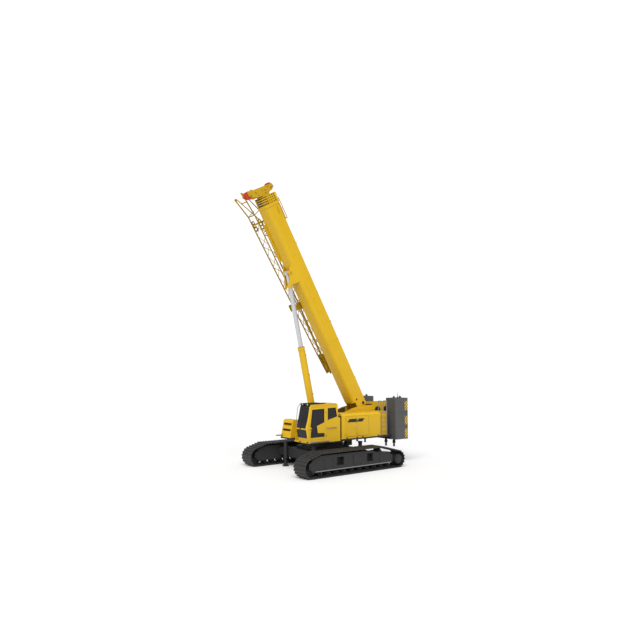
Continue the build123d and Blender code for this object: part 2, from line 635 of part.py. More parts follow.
def boom_section(k):
    """Telescoping section k, 1 the widest, with its end collar and tail pads."""
    inset = SECTION_SHRINK * k
    start = 500 + TAIL_STEP * (k - 1)
    end = BASE_END + COLLAR * k
    section = tube(inset, 12, start, end)
    rim = solid_tube(COLLAR_RIM, end - COLLAR + RUN_GAP, end)
    for front in (end - FLANGE, end - COLLAR + RUN_GAP):
        rim += solid_tube(0, front, front + FLANGE)
    for side in (-1, 1):
        for z in COLLAR_PADS:
            rim += block(end - COLLAR + 5, end - 5, side * (BOOM_HALF - COLLAR_RIM - 5), side * BOOM_HALF, z, z + 70)
        rim += block(end - COLLAR + 5, end - 5, side * 290, side * (BOOM_HALF - 20), BOOM_UP - 70, BOOM_UP + 70)
    section += rim - solid_tube(inset + 2, end - COLLAR - 5, end + 5)
    gap = SECTION_SHRINK - (BOOM_WALL if k == 1 else 12)
    for side in (-1, 1):
        y = side * (BOOM_HALF - inset)
        section += block(start + 30, start + 330, y, y + side * (gap - RUN_GAP), -200, 0)
    return section


HEAD_D = BASE_END + COLLAR * SECTION_COUNT
HEAD_Y, HEAD_PLATE = 240.0, 40.0
SHEAVE_AXLE_R = 45.0
HOIST_SHEAVE = (HEAD_D + 350, -1120.0, 200.0)      # along, up and radius
TOP_SHEAVE = (HEAD_D + 335, 360.0, 210.0)
# outline of a head plate, along and up from the end of the last collar
HEAD_OUTLINE = ((60, 0), (60, -640), (250, -1170), (510, -1200), (500, -840), (475, -85), (440, 440), (195, 360))


def boom_head():
    """Two head plates with ties, carrying the sheaves."""
    d = HEAD_D
    head = solid_tube(SECTION_SHRINK * SECTION_COUNT, d + RUN_GAP, d + 70)
    for side in (-1, 1):
        plate = side_prism([(d + x, z) for x, z in HEAD_OUTLINE], side * HEAD_Y, side * (HEAD_Y + HEAD_PLATE))
        for along_d, up, _ in (HOIST_SHEAVE, TOP_SHEAVE):
            plate += pin_y(along_d, up, 85, side * (HEAD_Y + HEAD_PLATE), side * (HEAD_Y + HEAD_PLATE + 18))
            plate -= pin_y(along_d, up, SHEAVE_AXLE_R, side * (HEAD_Y - 5), side * (HEAD_Y + HEAD_PLATE + 25))
        plate -= pin_y(d + 290, -705, 38, side * (HEAD_Y - 5), side * (HEAD_Y + HEAD_PLATE + 5))
        plate -= pin_y(d + 245, -120, 38, side * (HEAD_Y - 5), side * (HEAD_Y + HEAD_PLATE + 5))
        head += plate
    head += block(d + 60, d + 420, -HEAD_Y - 1, HEAD_Y + 1, -480, -450)
    head += block(d + 60, d + 110, -HEAD_Y - 1, HEAD_Y + 1, -700, 100)
    head += side_prism([(d + 450, -1000), (d + 600, -1130), (d + 610, -1230), (d + 480, -1200)], -HEAD_Y - 1, -HEAD_Y - 39)
    head += side_prism([(d + 470, -840), (d + 560, -860), (d + 560, -1010), (d + 470, -1000)], HEAD_Y + 1, HEAD_Y + 39)
    return head


def sheaves(place, count, gap, middle=0.0):
    """Grooved sheaves on one shaft, side by side about a middle."""
    along, up, radius = place
    reach = HEAD_Y + HEAD_PLATE + 30
    group = pin_y(along, up, SHEAVE_AXLE_R - RUN_GAP, -reach, reach)
    for i in range(count):
        y = middle + (i - (count - 1) / 2) * gap
        disc = pin_y(along, up, radius, y - 28, y + 28)
        groove = pin_y(along, up, radius + 1, y - 14, y + 14) - pin_y(along, up, radius - 26, y - 20, y + 20)
        group += disc - groove
    half = (count - 1) / 2 * gap + 40
    group += pin_y(along, up, 80, middle - half, middle + half)
    return group


# ---------------------------------------------------------------- stowed jib
# distance along the boom, y of the near and the far side, height of the lower and the upper side
JIB_STATIONS = ((11250.0, -555.0, -1165.0, -755.0, -110.0), (3300.0, -555.0, -860.0, -575.0, -330.0))
JIB_BAYS = 13
CHORD_R, LACE_R = 36.0, 17.0
JIB_TIP = 1150.0         # length of the plated tip
ROOT_LEGS = (12780.0, -920.0, -780.0)      # where the root legs end: along, lower and upper
ROOT_SPLAY = 250.0       # how far the far leg spreads


def jib_station(share):
    return [a + (b - a) * share for a, b in zip(*JIB_STATIONS)]


def jib():
    """Four chords, laced on all sides, with splayed root legs and a plated tip."""
    corners = ((0, 0), (1, 0), (1, 1), (0, 1))       # 0 near or 1 far, 0 lower or 1 upper

    def corner(share, far, upper):
        d, near_y, far_y, low, up = jib_station(share)
        return d, far_y if far else near_y, up if upper else low

    bars = []
    for far, upper in corners:
        bars.append(bar(corner(0, far, upper), corner(1, far, upper), CHORD_R))
    for i in range(JIB_BAYS):
        a, b = i / JIB_BAYS, (i + 1) / JIB_BAYS
        for j in range(4):
            p, q = corners[j], corners[(j + 1) % 4]
            if i % 2:
                p, q = q, p
            bars.append(bar(corner(a, *p), corner(b, *q), LACE_R, 4))
    for share in (0, 1):
        for j in range(4):
            bars.append(bar(corner(share, *corners[j]), corner(share, *corners[(j + 1) % 4]), CHORD_R - 8, 4))
    d, near_y, far_y, low, up = jib_station(0)
    end, low_end, up_end = ROOT_LEGS
    for y in (near_y, far_y):
        knee = (d + 480, y, low - 20)
        bars.append(bar((d - 20, y, low), knee, CHORD_R))
        tip_y = y if y == near_y else y - ROOT_SPLAY
        bars.append(bar(knee, (end, tip_y, low_end), CHORD_R))
        bars.append(bar((d - 20, y, up), (end - 40, tip_y, up_end), CHORD_R - 6))
        bars.append(bar(knee, (d + 650, y, up - 170), LACE_R + 4, 4))
        bars.append(pin_y(end, low_end + 40, 75, tip_y - 30, tip_y + 30))
    bars.append(bar((d + 480, near_y, low - 20), (d + 480, far_y, low - 20), CHORD_R - 8, 4))
    bars.append(bar((d + 1250, near_y, -845), (d + 1250, far_y, -845), CHORD_R - 8, 4))
    for y in (near_y, far_y):
        gusset = side_prism([(d + 210, low), (d + 210, low + 190), (d - 380, low + 235), (d - 380, low)],
                            y - 10, y + 10)
        for x, radius in ((d + 110, 45), (d - 60, 60), (d - 240, 60)):
            gusset -= pin_y(x, low + 115, radius, y - 15, y + 15)
        bars.append(gusset)
    d, near_y, far_y, low, up = jib_station(1)
    for y in (near_y, far_y):
        bars.append(side_prism([(d + 60, low - 30), (d + 60, up + 30), (d - JIB_TIP, up), (d - JIB_TIP, low + 50)],
                               y - 12, y + 12))
    bars.append(block(d - 900, d - 500, near_y, far_y, -480, -440))
    return fused(bars)


def jib_brackets():
    """Arm at the jib's root and cradle under its middle, both on the boom's right side."""
    wall = -BOOM_HALF - SEAT_GAP
    d, near_y, _, _, up = jib_station(0.12)
    arm = block(d - 60, d + 60, wall, near_y + CHORD_R * cos(pi / 6) + SEAT_GAP, up - 60, up + 60)
    arm += block(d - 110, d + 110, wall, wall - 20, up - 120, up + 120)
    d, _, far_y, low, _ = jib_station(0.61)
    seat = low - CHORD_R - SEAT_GAP - 5
    cradle = side_prism([(d - 200, -250), (d + 200, -250), (d + 200, seat), (d + 60, seat - 200), (d - 80, seat - 200),
                         (d - 220, seat)], wall, wall - 25)
    cradle += block(d - 90, d + 90, wall - 20, far_y - 70, seat - 90, seat)
    cradle += block(d - 180, d + 180, far_y - 90, far_y - 68, seat - 170, seat)
    return Compound(children=[arm, cradle])


# ---------------------------------------------------------------- luffing cylinder
ROD_PIN = BOOM * Pos(PIN_D, 0, -PIN_DOWN)
PIN_X, PIN_Z = ROD_PIN.position.X, ROD_PIN.position.Z
CYL_LENGTH = hypot(PIN_X - CYL_X, PIN_Z - CYL_Z)
CYL_ANGLE = degrees(atan2(PIN_Z - CYL_Z, PIN_X - CYL_X))
CYL = Plane(origin=(CYL_X, 0, CYL_Z), x_dir=(cos(radians(CYL_ANGLE)), 0, sin(radians(CYL_ANGLE))),
            z_dir=(-sin(radians(CYL_ANGLE)), 0, cos(radians(CYL_ANGLE)))).location


def along(radius, start, end):
    """Round bar along the cylinder's own x."""
    return Pos((start + end) / 2, 0, 0) * Rot(0, 90, 0) * Cylinder(radius, end - start)


def cylinder_barrel():
    barrel = along(BARREL_R, 150, BARREL_END) + along(BARREL_R + 16, BARREL_END - 160, BARREL_END)
    barrel += pin_y(0, 0, FOOT_EYE_R, -FOOT_EYE_HALF, FOOT_EYE_HALF)
    barrel += block(0, 190, -FOOT_EYE_HALF, FOOT_EYE_HALF, -150, 150)
    barrel -= pin_y(0, 0, CYL_PIN_R + 4, -FOOT_EYE_HALF - 5, FOOT_EYE_HALF + 5)
    barrel -= along(BARREL_BORE, BORE_START, BARREL_END - GLAND)
    barrel -= along(ROD_R + RUN_GAP, BARREL_END - GLAND - 5, BARREL_END + 5)
    return barrel


def cylinder_rod():
    rod = along(ROD_R, PISTON_AT + 10, CYL_LENGTH - EYE_R + 30)
    rod += along(BARREL_BORE - RUN_GAP, PISTON_AT, PISTON_AT + PISTON)
    rod += pin_y(CYL_LENGTH, 0, EYE_R, -EYE_HALF, EYE_HALF)
    rod -= pin_y(CYL_LENGTH, 0, CYL_PIN_R, -EYE_HALF - 5, EYE_HALF + 5)
    return rod


# ---------------------------------------------------------------- cab
CAB_OUTLINE = ((CAB_REAR, CAB_LOW), (2040, CAB_LOW), (2150, 1760), (2240, 2240), (2110, 2700), (2000, 3270),
               (1900, 3370), (330, 3400), (230, 3330), (215, 2700), (CAB_REAR, 2640))
DOOR_OUTLINE = ((1010, 1640), (2035, 1640), (2060, 2250), (1930, 3230), (1010, 3240))
DOOR_GLASS = ((1880, 3130), (1110, 3150), (1110, 2470), (1580, 2310), (1520, 1960), (1100, 1940), (1100, 1750),
              (1980, 1740), (1960, 2040), (1900, 2080), (1900, 2220), (1990, 2280))
REAR_GLASS = ((890, 3170), (370, 3180), (270, 2720), (890, 2570))
CAB_HINGE = (1006.0, CAB_OUT + 24.0)
GLASS = 12.0
FRONT_PANES = ((1740.0, 2140.0), (2215.0, 3210.0))     # lowest and highest edge of the two front panes


def grown(points, amount):
    """Outline moved out by an amount."""
    face = make_face(Polyline(*points, close=True))
    return offset(face, amount, kind=Kind.INTERSECTION)


def side_cut(points, amount, y0, y1):
    plane = Plane(origin=(0, max(y0, y1), 0), x_dir=(1, 0, 0), z_dir=(0, -1, 0))
    return extrude(plane * grown(points, amount), abs(y1 - y0))


def cab_shell():
    """Hollow cab with its door opening and window openings."""
    shell = side_prism(CAB_OUTLINE, CAB_IN, CAB_OUT)
    front = shell.edges().filter_by(lambda e: e.center().X > 1960 and abs(e.tangent_at(0.5).Y) < 0.1)
    shell = chamfer(front.filter_by(lambda e: e.center().Y > CAB_OUT - 1), 55, 45)
    front = shell.edges().filter_by(lambda e: e.center().X > 1960 and abs(e.tangent_at(0.5).Y) < 0.1)
    shell = chamfer(front.filter_by(lambda e: e.center().Y < CAB_IN + 1), 90)
    shell -= side_cut(CAB_OUTLINE, -CAB_WALL, CAB_IN + CAB_WALL + 30, CAB_OUT - CAB_WALL)
    shell -= side_cut(DOOR_OUTLINE, DOOR_GAP, CAB_OUT - CAB_WALL - 5, CAB_OUT + 5)
    shell -= side_prism(REAR_GLASS, CAB_OUT - CAB_WALL - 5, CAB_OUT + 5)
    # right side window
    shell -= side_prism(((1900, 3150), (400, 3180), (300, 2600), (300, 2350), (2060, 2350)),
                        CAB_IN - 5, CAB_IN + CAB_WALL + 35)
    for low, high in FRONT_PANES:
        shell -= block(1900, 2300, CAB_IN + 100, CAB_OUT - 70, low, high)
    shell -= block(150, 290, CAB_IN + 110, CAB_OUT - 110, 2790, 3200)
    for z in (1850, 3000):
        shell += block(CAB_HINGE[0] - 70, CAB_HINGE[0] - 4, CAB_OUT - 5, CAB_OUT + 14, z - 60, z - 22)
        shell += post(CAB_HINGE[0], CAB_HINGE[1], 11, z - 60, z + 60)
    return shell


def cab_door():
    door = side_prism(DOOR_OUTLINE, CAB_OUT - CAB_WALL, CAB_OUT)
    door -= side_prism(DOOR_GLASS, CAB_OUT - CAB_WALL - 5, CAB_OUT + 5)
    for z in (1850, 3000):
        door += block(CAB_HINGE[0] + 6, CAB_HINGE[0] + 80, CAB_OUT - 4, CAB_OUT + 14, z - 20, z + 60)
        door += post(CAB_HINGE[0], CAB_HINGE[1], 20, z - 20, z + 60)
        door -= post(CAB_HINGE[0], CAB_HINGE[1], 11 + RUN_GAP, z - 25, z + 65)
    door += pin_y(1960, 2150, 28, CAB_OUT - 1, CAB_OUT + 26)
    return door


def door_glass():
    return side_prism(DOOR_GLASS, CAB_OUT - CAB_WALL + 10, CAB_OUT - CAB_WALL + 10 + GLASS)


def cab_glass():
    panes = [side_prism(REAR_GLASS, CAB_OUT - CAB_WALL + 10, CAB_OUT - CAB_WALL + 10 + GLASS),
             side_prism(((1900, 3150), (400, 3180), (300, 2600), (300, 2350), (2060, 2350)),
                        CAB_IN + 20, CAB_IN + 20 + GLASS)]
    inner, outer = CAB_IN + 100, CAB_OUT - 70
    skin = side_cut(CAB_OUTLINE, -15, inner, outer) - side_cut(CAB_OUTLINE, -15 - GLASS, inner - 1, outer + 1)
    for low, high in FRONT_PANES:
        panes.append(skin & block(1900, 2300, inner, outer, low, high))
    panes.append(block(235, 235 + GLASS, CAB_IN + 110, CAB_OUT - 110, 2790, 3200))
    return Compound(children=panes)


def cab_seat():
    """Operator's seat on its pedestal with a console at each side, as wide as the cab lets it be."""
    y, half = (CAB_IN + CAB_OUT) / 2, (CAB_OUT - CAB_IN) / 2
    seat = block(700, 1180, y - half + 240, y + half - 240, 1960, 2080)
    seat += block(620, 740, y - half + 250, y + half - 250, 2060, 2820)
    seat += block(760, 1100, y - half + 350, y + half - 350, CAB_LOW + CAB_WALL, 1970)
    for side in (-1, 1):
        seat += block(760, 1290, y + side * (half - 232), y + side * (half - 112), 2090, 2210)
        seat += block(800, 900, y + side * (half - 242), y + side * (half - 122), 1980, 2100)
    return seat


# ---------------------------------------------------------------- small structures
LADDER_X = (-2930.0, -3320.0)


def ladder():
    """Ladder up the hood's niche with hand hoops."""
    y = SIDE_Y - NICHE_DEPTH + 110
    rails = []
    for x in LADDER_X:
        rails.append(bar((x, y, DECK_TOP + 0.3), (x, y, 3400), 20))
        rails.append(bar((x, y, 3390), (x, y - 260, 3390), 20, 4))
        rails.append(bar((x, y - 250, 3400), (x, y - 250, HOOD_TOP + 0.3), 20))
    for i in range(5):
        z = 1720 + i * 260
        rails.append(bar((LADDER_X[0], y, z), (LADDER_X[1], y, z), 16, 4))
    return fused(rails)


def cab_guard():
    """Roof guard frame and the hoop rails at the cab's inner front corner."""
    y0, y1 = CAB_IN + 60, CAB_OUT - 60
    guard = block(1000, 1880, y0, y1, 3380, 3425)
    guard -= block(1060, 1820, y0 + 60, y1 - 60, 3370, 3430)
    for i in range(5):
        x = 1180 + i * 130
        guard += block(x - 14, x + 14, y0 + 50, y1 - 50, 3395, 3420)
    guard -= side_cut(CAB_OUTLINE, SEAT_GAP, CAB_IN - 5, CAB_OUT + 5)
    return guard


# x and z of the hand rail at the cab's inner front corner, from the roof down
HOOP = ((1900.0, 3370.0), (2060.0, 3250.0), (2100.0, 3110.0), (2135.0, 2790.0), (2165.0, 2510.0), (2150.0, 2200.0))


def cab_rails():
    """Bent hand rail at the cab's inner front corner and a straight one on its outer side."""
    y = CAB_IN - 34
    hoop = fused(bar((x0, y, z0), (x1, y, z1), 15) for (x0, z0), (x1, z1) in zip(HOOP, HOOP[1:]))
    for x, z in HOOP[1:-1]:
        hoop += pin_y(x, z, 15, y - 12, y + 12)
    for x, z in (HOOP[0], HOOP[-1]):
        hoop += bar((x, y, z), (x - 90, y, z), 15)
        hoop += pin_y(x - 90, z - 15, 15, y, CAB_IN - SEAT_GAP)
    y = CAB_OUT + 46
    grip = bar((CAB_HINGE[0] - 690, y, 2172), (CAB_HINGE[0] - 40, y, 2172), 16)
    for x in (CAB_HINGE[0] - 680, CAB_HINGE[0] - 50):
        grip += pin_y(x, 2172, 14, CAB_OUT + SEAT_GAP, y)
    return Compound(children=[hoop, grip])


def work_lamps():
    """Lamps along the roof's sloping front edge, each a tapered housing on its foot with its lens."""
    lamps = []
    for y in (CAB_IN + 140, CAB_IN + 340, CAB_OUT - 160):
        lamp = block(1925, 1975, y - 18, y + 18, 3300, 3400)
        lamp += side_prism([(1955, 3350), (2040, 3335), (2040, 3430), (1955, 3415)], y - 65, y + 65)
        lamp += block(2035, 2048, y - 52, y + 52, 3345, 3422)
        lamps.append(lamp - side_cut(CAB_OUTLINE, SEAT_GAP, CAB_IN - 5, CAB_OUT + 5))
    return Compound(children=lamps)


# ---------------------------------------------------------------- export
def build():
    for side, name in ((1, "left"), (-1, "right")):
        write(belt(side), f"track_{name}")
        write(track_frame(side), f"track_frame_{name}")
        write(running_gear(side), f"rollers_{name}")
        write(final_drive(side), f"final_drive_{name}")
        write(counterweight_wing(side), f"counterweight_{name}")
    write(car_body(), "car_body")
    write(slew_ring_fixed(), "slew_ring_fixed")
    write(slew_ring_turning(), "slew_ring_turning")
    for (x, y), name in zip(jack_places(), ("front_left", "front_right", "rear_left", "rear_right")):
        write(jack_leg(x, y), f"jack_leg_{name}")
    write(turntable(), "turntable")
    write(pins(), "pivot_pins")
    left, right = decks()
    write(left, "deck_left")
    write(right, "deck_right")
    write(hood_left(), "hood_left")
    for (front, rear), name in zip(HOOD_DOORS, ("front", "rear")):
        write(hood_door(front, rear), f"hood_door_{name}")
    write(engine(), "engine")
    write(front_box(), "front_box")
    write(tank_right(), "tank_right")
    write(hood_right(), "hood_right")
    write(counterweight_base(), "counterweight_base")
    write(winch_frame(), "winch_frame")
    for name, (x, z) in WINCHES.items():
        write(winch_drum(x, z), f"winch_drum_{name}")
    write(BOOM * boom_base(), "boom_base")
    for k in range(1, SECTION_COUNT + 1):
        section = boom_section(k)
        write(BOOM * section, f"boom_section_{k}")
    write(BOOM * boom_head(), "boom_head")
    write(BOOM * sheaves(HOIST_SHEAVE, 3, 76, 110.0), "hoist_sheaves")
    write(BOOM * sheaves(TOP_SHEAVE, 2, 120), "top_sheaves")
    write(BOOM * luff_pin(), "luff_pin")
    write(BOOM * jib(), "jib")
    write(BOOM * jib_brackets(), "jib_brackets")
    write(CYL * cylinder_barrel(), "cylinder_barrel")
    write(CYL * cylinder_rod(), "cylinder_rod")
    write(cab_shell(), "cab_shell")
    write(cab_door(), "cab_door")
    write(door_glass(), "door_glass")
    write(cab_glass(), "cab_glass")
    write(cab_seat(), "cab_seat")
    write(ladder(), "ladder")
    write(cab_guard(), "cab_guard")
    write(cab_rails(), "cab_rails")
    write(work_lamps(), "work_lamps")


build()
print("cylinder length", round(CYL_LENGTH), "angle", round(CYL_ANGLE, 2), "pin", round(PIN_X), round(PIN_Z))
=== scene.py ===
"""Finished look of a telescopic-boom crawler crane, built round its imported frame."""
import json
import math

import bpy
from mathutils import Matrix, Vector


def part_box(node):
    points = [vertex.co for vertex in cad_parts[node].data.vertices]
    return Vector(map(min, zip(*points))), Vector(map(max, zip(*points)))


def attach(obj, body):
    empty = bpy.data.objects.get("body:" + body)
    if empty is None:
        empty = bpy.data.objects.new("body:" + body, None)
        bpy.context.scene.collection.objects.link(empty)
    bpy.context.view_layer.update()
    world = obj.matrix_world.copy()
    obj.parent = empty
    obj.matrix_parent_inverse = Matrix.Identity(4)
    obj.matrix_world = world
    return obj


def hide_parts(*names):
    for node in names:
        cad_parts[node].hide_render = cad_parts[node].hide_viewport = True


bl_info = {
    "name": "Telescopic Crawler Crane",
    "version": (1, 0, 0),
    "blender": (4, 5, 0),
    "location": "3D View > Sidebar > Crane",
    "description": "Builds the finishes, fittings and stage of a telescopic-boom crawler crane",
    "category": "Add Mesh",
}

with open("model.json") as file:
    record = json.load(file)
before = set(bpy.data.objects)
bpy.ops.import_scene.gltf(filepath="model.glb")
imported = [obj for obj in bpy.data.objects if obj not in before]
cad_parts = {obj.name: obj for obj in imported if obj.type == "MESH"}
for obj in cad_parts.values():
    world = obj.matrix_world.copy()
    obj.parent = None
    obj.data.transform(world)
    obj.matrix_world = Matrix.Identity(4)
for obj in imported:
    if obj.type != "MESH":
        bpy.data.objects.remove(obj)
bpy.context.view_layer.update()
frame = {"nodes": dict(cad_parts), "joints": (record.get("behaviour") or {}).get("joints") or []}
NODES = frame["nodes"]


# ---- shader words
class Signal:
    """The output of a shader node, which Python's operators work on."""

    def __init__(self, finish, socket):
        self.finish, self.socket = finish, socket

    def maths(self, operation, other=0.0, clamp=False):
        return self.finish.add("Math", {"operation": operation, "use_clamp": clamp}, self, other)

    def __add__(self, other):
        return self.maths("ADD", other)

    def __sub__(self, other):
        return self.maths("SUBTRACT", other)

    def __rsub__(self, other):
        return self.finish.add("Math", {"operation": "SUBTRACT"}, other, self)

    def __mul__(self, other):
        return self.maths("MULTIPLY", other)

    def __gt__(self, other):
        return self.maths("GREATER_THAN", other)

    def __lt__(self, other):
        return self.maths("LESS_THAN", other)

    __radd__ = __add__
    __rmul__ = __mul__

    def clamped(self):
        return self.maths("ADD", 0.0, clamp=True)

    def between(self, low, high):
        """0 at low and 1 at high, straight in between."""
        return self.finish.add("MapRange", {"clamp": True}, self, low, high, 0.0, 1.0)


class Finish:
    """A material built from named nodes, their settings and their inputs."""

    def __init__(self, name):
        self.material = bpy.data.materials.new(name)
        self.material.use_nodes = True
        self.tree = self.material.node_tree
        self.tree.nodes.clear()

    def put(self, socket, value):
        if isinstance(value, Signal):
            self.tree.links.new(value.socket, socket)
        elif isinstance(value, tuple) and len(value) == 3 and socket.type == "RGBA":
            socket.default_value = (*value, 1.0)
        else:
            socket.default_value = value

    def add(self, kind, settings=None, *inputs, out=0, **named):
        node = self.tree.nodes.new("ShaderNode" + kind)
        for key, value in (settings or {}).items():
            setattr(node, key, value)
        for index, value in enumerate(inputs):
            self.put(node.inputs[index], value)
        for key, value in named.items():
            self.put(node.inputs[key.replace("_", " ")], value)
        return Signal(self, node.outputs[out])

    def mix(self, factor, first, second):
        """The colour that is first at 0 and second at 1."""
        node = self.tree.nodes.new("ShaderNodeMix")
        node.data_type = "RGBA"
        for index, value in ((0, factor), (6, first), (7, second)):
            self.put(node.inputs[index], value)
        return Signal(self, node.outputs[2])

    def place(self):
        return self.add("TexCoord", out=3)

    def axes(self, vector):
        node = self.add("SeparateXYZ", None, vector).socket.node
        return [Signal(self, socket) for socket in node.outputs]

    def noise(self, scale, detail=3.0, stretch=(1.0, 1.0, 1.0)):
        where = self.add("Mapping", None, self.place(), Scale=stretch)
        return self.add("TexNoise", None, where, Scale=scale, Detail=detail)

    def facing_up(self):
        return self.axes(self.add("NewGeometry", out=1))[2]

    def bumped(self, height, strength, distance):
        return self.add("Bump", None, Height=height, Strength=strength, Distance=distance)

    def surface(self, **named):
        """The finished material, from the inputs of its one shader."""
        shader = self.add("BsdfPrincipled", None, **named)
        node = self.tree.nodes.new("ShaderNodeOutputMaterial")
        self.tree.links.new(shader.socket, node.inputs["Surface"])
        return self.material


def painted(name, colour, shade, dust, rough, coat=0.08):
    """Sprayed enamel: slow changes of tone, orange peel, and a film of dust on ledges."""
    finish = Finish(name)
    tone = finish.noise(0.9, 4.0)
    streak = finish.noise(5.0, 3.0, (1.0, 1.0, 0.12))
    grime = (finish.facing_up().between(0.55, 1.0) * tone.between(0.35, 0.7) * 0.16
        + streak.between(0.58, 0.9) * 0.07)
    body = finish.mix(tone.between(0.3, 0.75), colour, shade)
    return finish.surface(
        Base_Color=finish.mix(grime.clamped(), body, dust),
        Roughness=rough + tone * 0.12 + grime * 0.3,
        Coat_Weight=coat, Coat_Roughness=0.12, Specular_IOR_Level=0.22,
        Normal=finish.bumped(finish.noise(90.0, 2.0), 0.06, 0.002))


def worn_steel(name, colour, bright, rough):
    """Dark blasted steel with rubbed patches and patches of soil."""
    finish = Finish(name)
    grain = finish.noise(14.0, 6.0)
    soil = finish.noise(3.0, 5.0).between(0.45, 0.7)
    rubbed = finish.mix(grain.between(0.55, 0.8) * 0.55, colour, bright)
    return finish.surface(
        Base_Color=finish.mix(soil * 0.3, rubbed, (0.06, 0.052, 0.042)),
        Roughness=rough + soil * 0.2 - grain * 0.15, Metallic=0.35,
        Normal=finish.bumped(grain, 0.25, 0.004))


def toned(colour, share):
    """The colour at a share of its brightness."""
    return tuple(part * share for part in colour)


def plain(name, colour, rough, metal=0.0, scale=40.0, depth=0.05, change=0.18, coat=0.0):
    """One colour with a fine grain of its own."""
    finish = Finish(name)
    grain = finish.noise(scale, 4.0)
    return finish.surface(
        Base_Color=finish.mix(grain, colour, toned(colour, 1 - change)), Roughness=rough + grain * 0.1,
        Metallic=metal, Coat_Weight=coat, Normal=finish.bumped(grain, depth, 0.002))


def tinted_glass():
    """Nearly black glass with faint smears."""
    finish = Finish("tinted_glass")
    smear = finish.noise(2.5, 4.0, (1.0, 1.0, 0.4))
    return finish.surface(
        Base_Color=finish.mix(smear, (0.018, 0.018, 0.019), (0.028, 0.028, 0.03)),
        Roughness=0.14 + smear * 0.08, Alpha=0.95, Specular_IOR_Level=0.16)


def stripes():
    """Slanted yellow and black bands."""
    finish = Finish("hazard_stripes")
    x, _, z = finish.axes(finish.place())
    period = 0.168
    black = ((z + x) * (1 / period)).maths("FRACT") < 0.5
    fade = finish.noise(9.0, 3.0)
    return finish.surface(
        Base_Color=finish.mix(black, finish.mix(fade, (0.8, 0.5, 0.02), (0.72, 0.44, 0.03)),
        (0.012, 0.012, 0.012)),
        Roughness=0.42 + fade * 0.1, Normal=finish.bumped(fade, 0.03, 0.002))


def make_materials(sizes):
    """Every coat by name."""
    yellow = tuple(sizes.paint)
    return {
        "yellow": painted("yellow_enamel", yellow, toned(yellow, 0.93), (0.46, 0.36, 0.16), 0.34),
        "grey": painted("grey_enamel", (0.086, 0.086, 0.088), (0.075, 0.075, 0.077),
        (0.17, 0.165, 0.155), 0.45, 0.12),
        "chassis": painted("chassis_enamel", (0.03, 0.03, 0.031), (0.024, 0.024, 0.025),
        (0.075, 0.07, 0.062), 0.5, 0.08),
        "track": worn_steel("track_steel", (0.034, 0.034, 0.035), (0.1, 0.098, 0.092), 0.55),
        "chrome": plain("rod_chrome", (0.6, 0.6, 0.62), 0.28, 0.55, 120.0, 0.02, 0.05),
        "rail": plain("rail_zinc", (0.3, 0.3, 0.31), 0.4, 0.6, 60.0, 0.05),
        "glass": tinted_glass(),
        "nylon": plain("sheave_nylon", (0.62, 0.045, 0.028), 0.45, 0.0, 30.0, 0.05),
        "rubber": plain("black_rubber", (0.012, 0.012, 0.013), 0.6, 0.0, 120.0, 0.1),
        "seat": plain("seat_cloth", (0.035, 0.035, 0.04), 0.85, 0.0, 260.0, 0.25, 0.35),
        "silver": plain("silver_trim", (0.5, 0.5, 0.51), 0.35, 0.4, 50.0, 0.03),
        "lens": plain("lamp_lens", (0.72, 0.74, 0.76), 0.12, 0.1, 25.0, 0.15, 0.1, 0.5),
        "black": painted("black_enamel", (0.014, 0.014, 0.015), (0.011, 0.011, 0.012),
        (0.05, 0.047, 0.042), 0.42, 0.15),
        "dull": painted("yellow_castings", toned(yellow, 0.8), toned(yellow, 0.7), (0.3, 0.24, 0.12), 0.42, 0.1),
        # groove coat: dark brown, painted shade for the collars' grooves and the winch well
        "groove": plain("groove_shadow", (0.09, 0.058, 0.01), 0.7, 0.0, 60.0, 0.05, 0.4),
        # the jib's coat is the yellow darkened: painted shade for the boom's shadow on the jib
        "jib": painted("jib_painted_shade_enamel", toned(yellow, 0.6), toned(yellow, 0.5), (0.16, 0.13, 0.07), 0.5, 0.05),
        "badge": plain("badge_black", (0.007, 0.007, 0.008), 0.5, 0.0, 60.0, 0.02, 0.1),
        "rope": plain("wire_rope", (0.16, 0.155, 0.14), 0.5, 0.5, 140.0, 0.35, 0.5),
        "stripes": stripes(),
    }


# ---- workshop words
def rest():
    """Nothing selected, in object mode."""
    if bpy.context.mode != "OBJECT":
        bpy.ops.object.mode_set(mode="OBJECT")
    bpy.ops.object.select_all(action="DESELECT")


def pick(piece):
    """The piece alone is selected and active."""
    rest()
    piece.select_set(True)
    bpy.context.view_layer.objects.active = piece
    return piece


def edit(piece):
    """The piece in edit mode with all of it selected."""
    pick(piece)
    bpy.ops.object.mode_set(mode="EDIT")
    bpy.ops.mesh.select_all(action="SELECT")


def settled(piece, matrix=None):
    """The piece turned and moved by a matrix, then written into its own mesh at the origin."""
    pick(piece)
    if matrix is not None:
        piece.matrix_world = matrix @ piece.matrix_world
    bpy.ops.object.transform_apply(location=True, rotation=True, scale=True)
    return piece


def faces(piece, test):
    """Edit mode with only the faces whose centre and normal pass a test."""
    rest()
    for part in (*piece.data.vertices, *piece.data.edges):
        part.select = False
    for face in piece.data.polygons:
        face.select = test(face.center, face.normal)
    bpy.context.view_layer.objects.active = piece
    piece.select_set(True)
    bpy.ops.object.mode_set(mode="EDIT")
    bpy.ops.mesh.select_mode(type="FACE")


def named(name):
    """The object just added, under its name."""
    bpy.context.object.name = name
    return bpy.context.object


def modified(piece, kind, **settings):
    """The piece with a modifier set and applied."""
    modifier = piece.modifiers.new(kind, kind)
    for key, value in settings.items():
        setattr(modifier, key, value)
    pick(piece)
    bpy.ops.object.modifier_apply(modifier=modifier.name)
    return piece


def block(name, middle, size):
    """Sharp block to be shaped further."""
    rest()
    bpy.ops.mesh.primitive_cube_add(size=1.0, location=middle, scale=size)
    return settled(named(name))


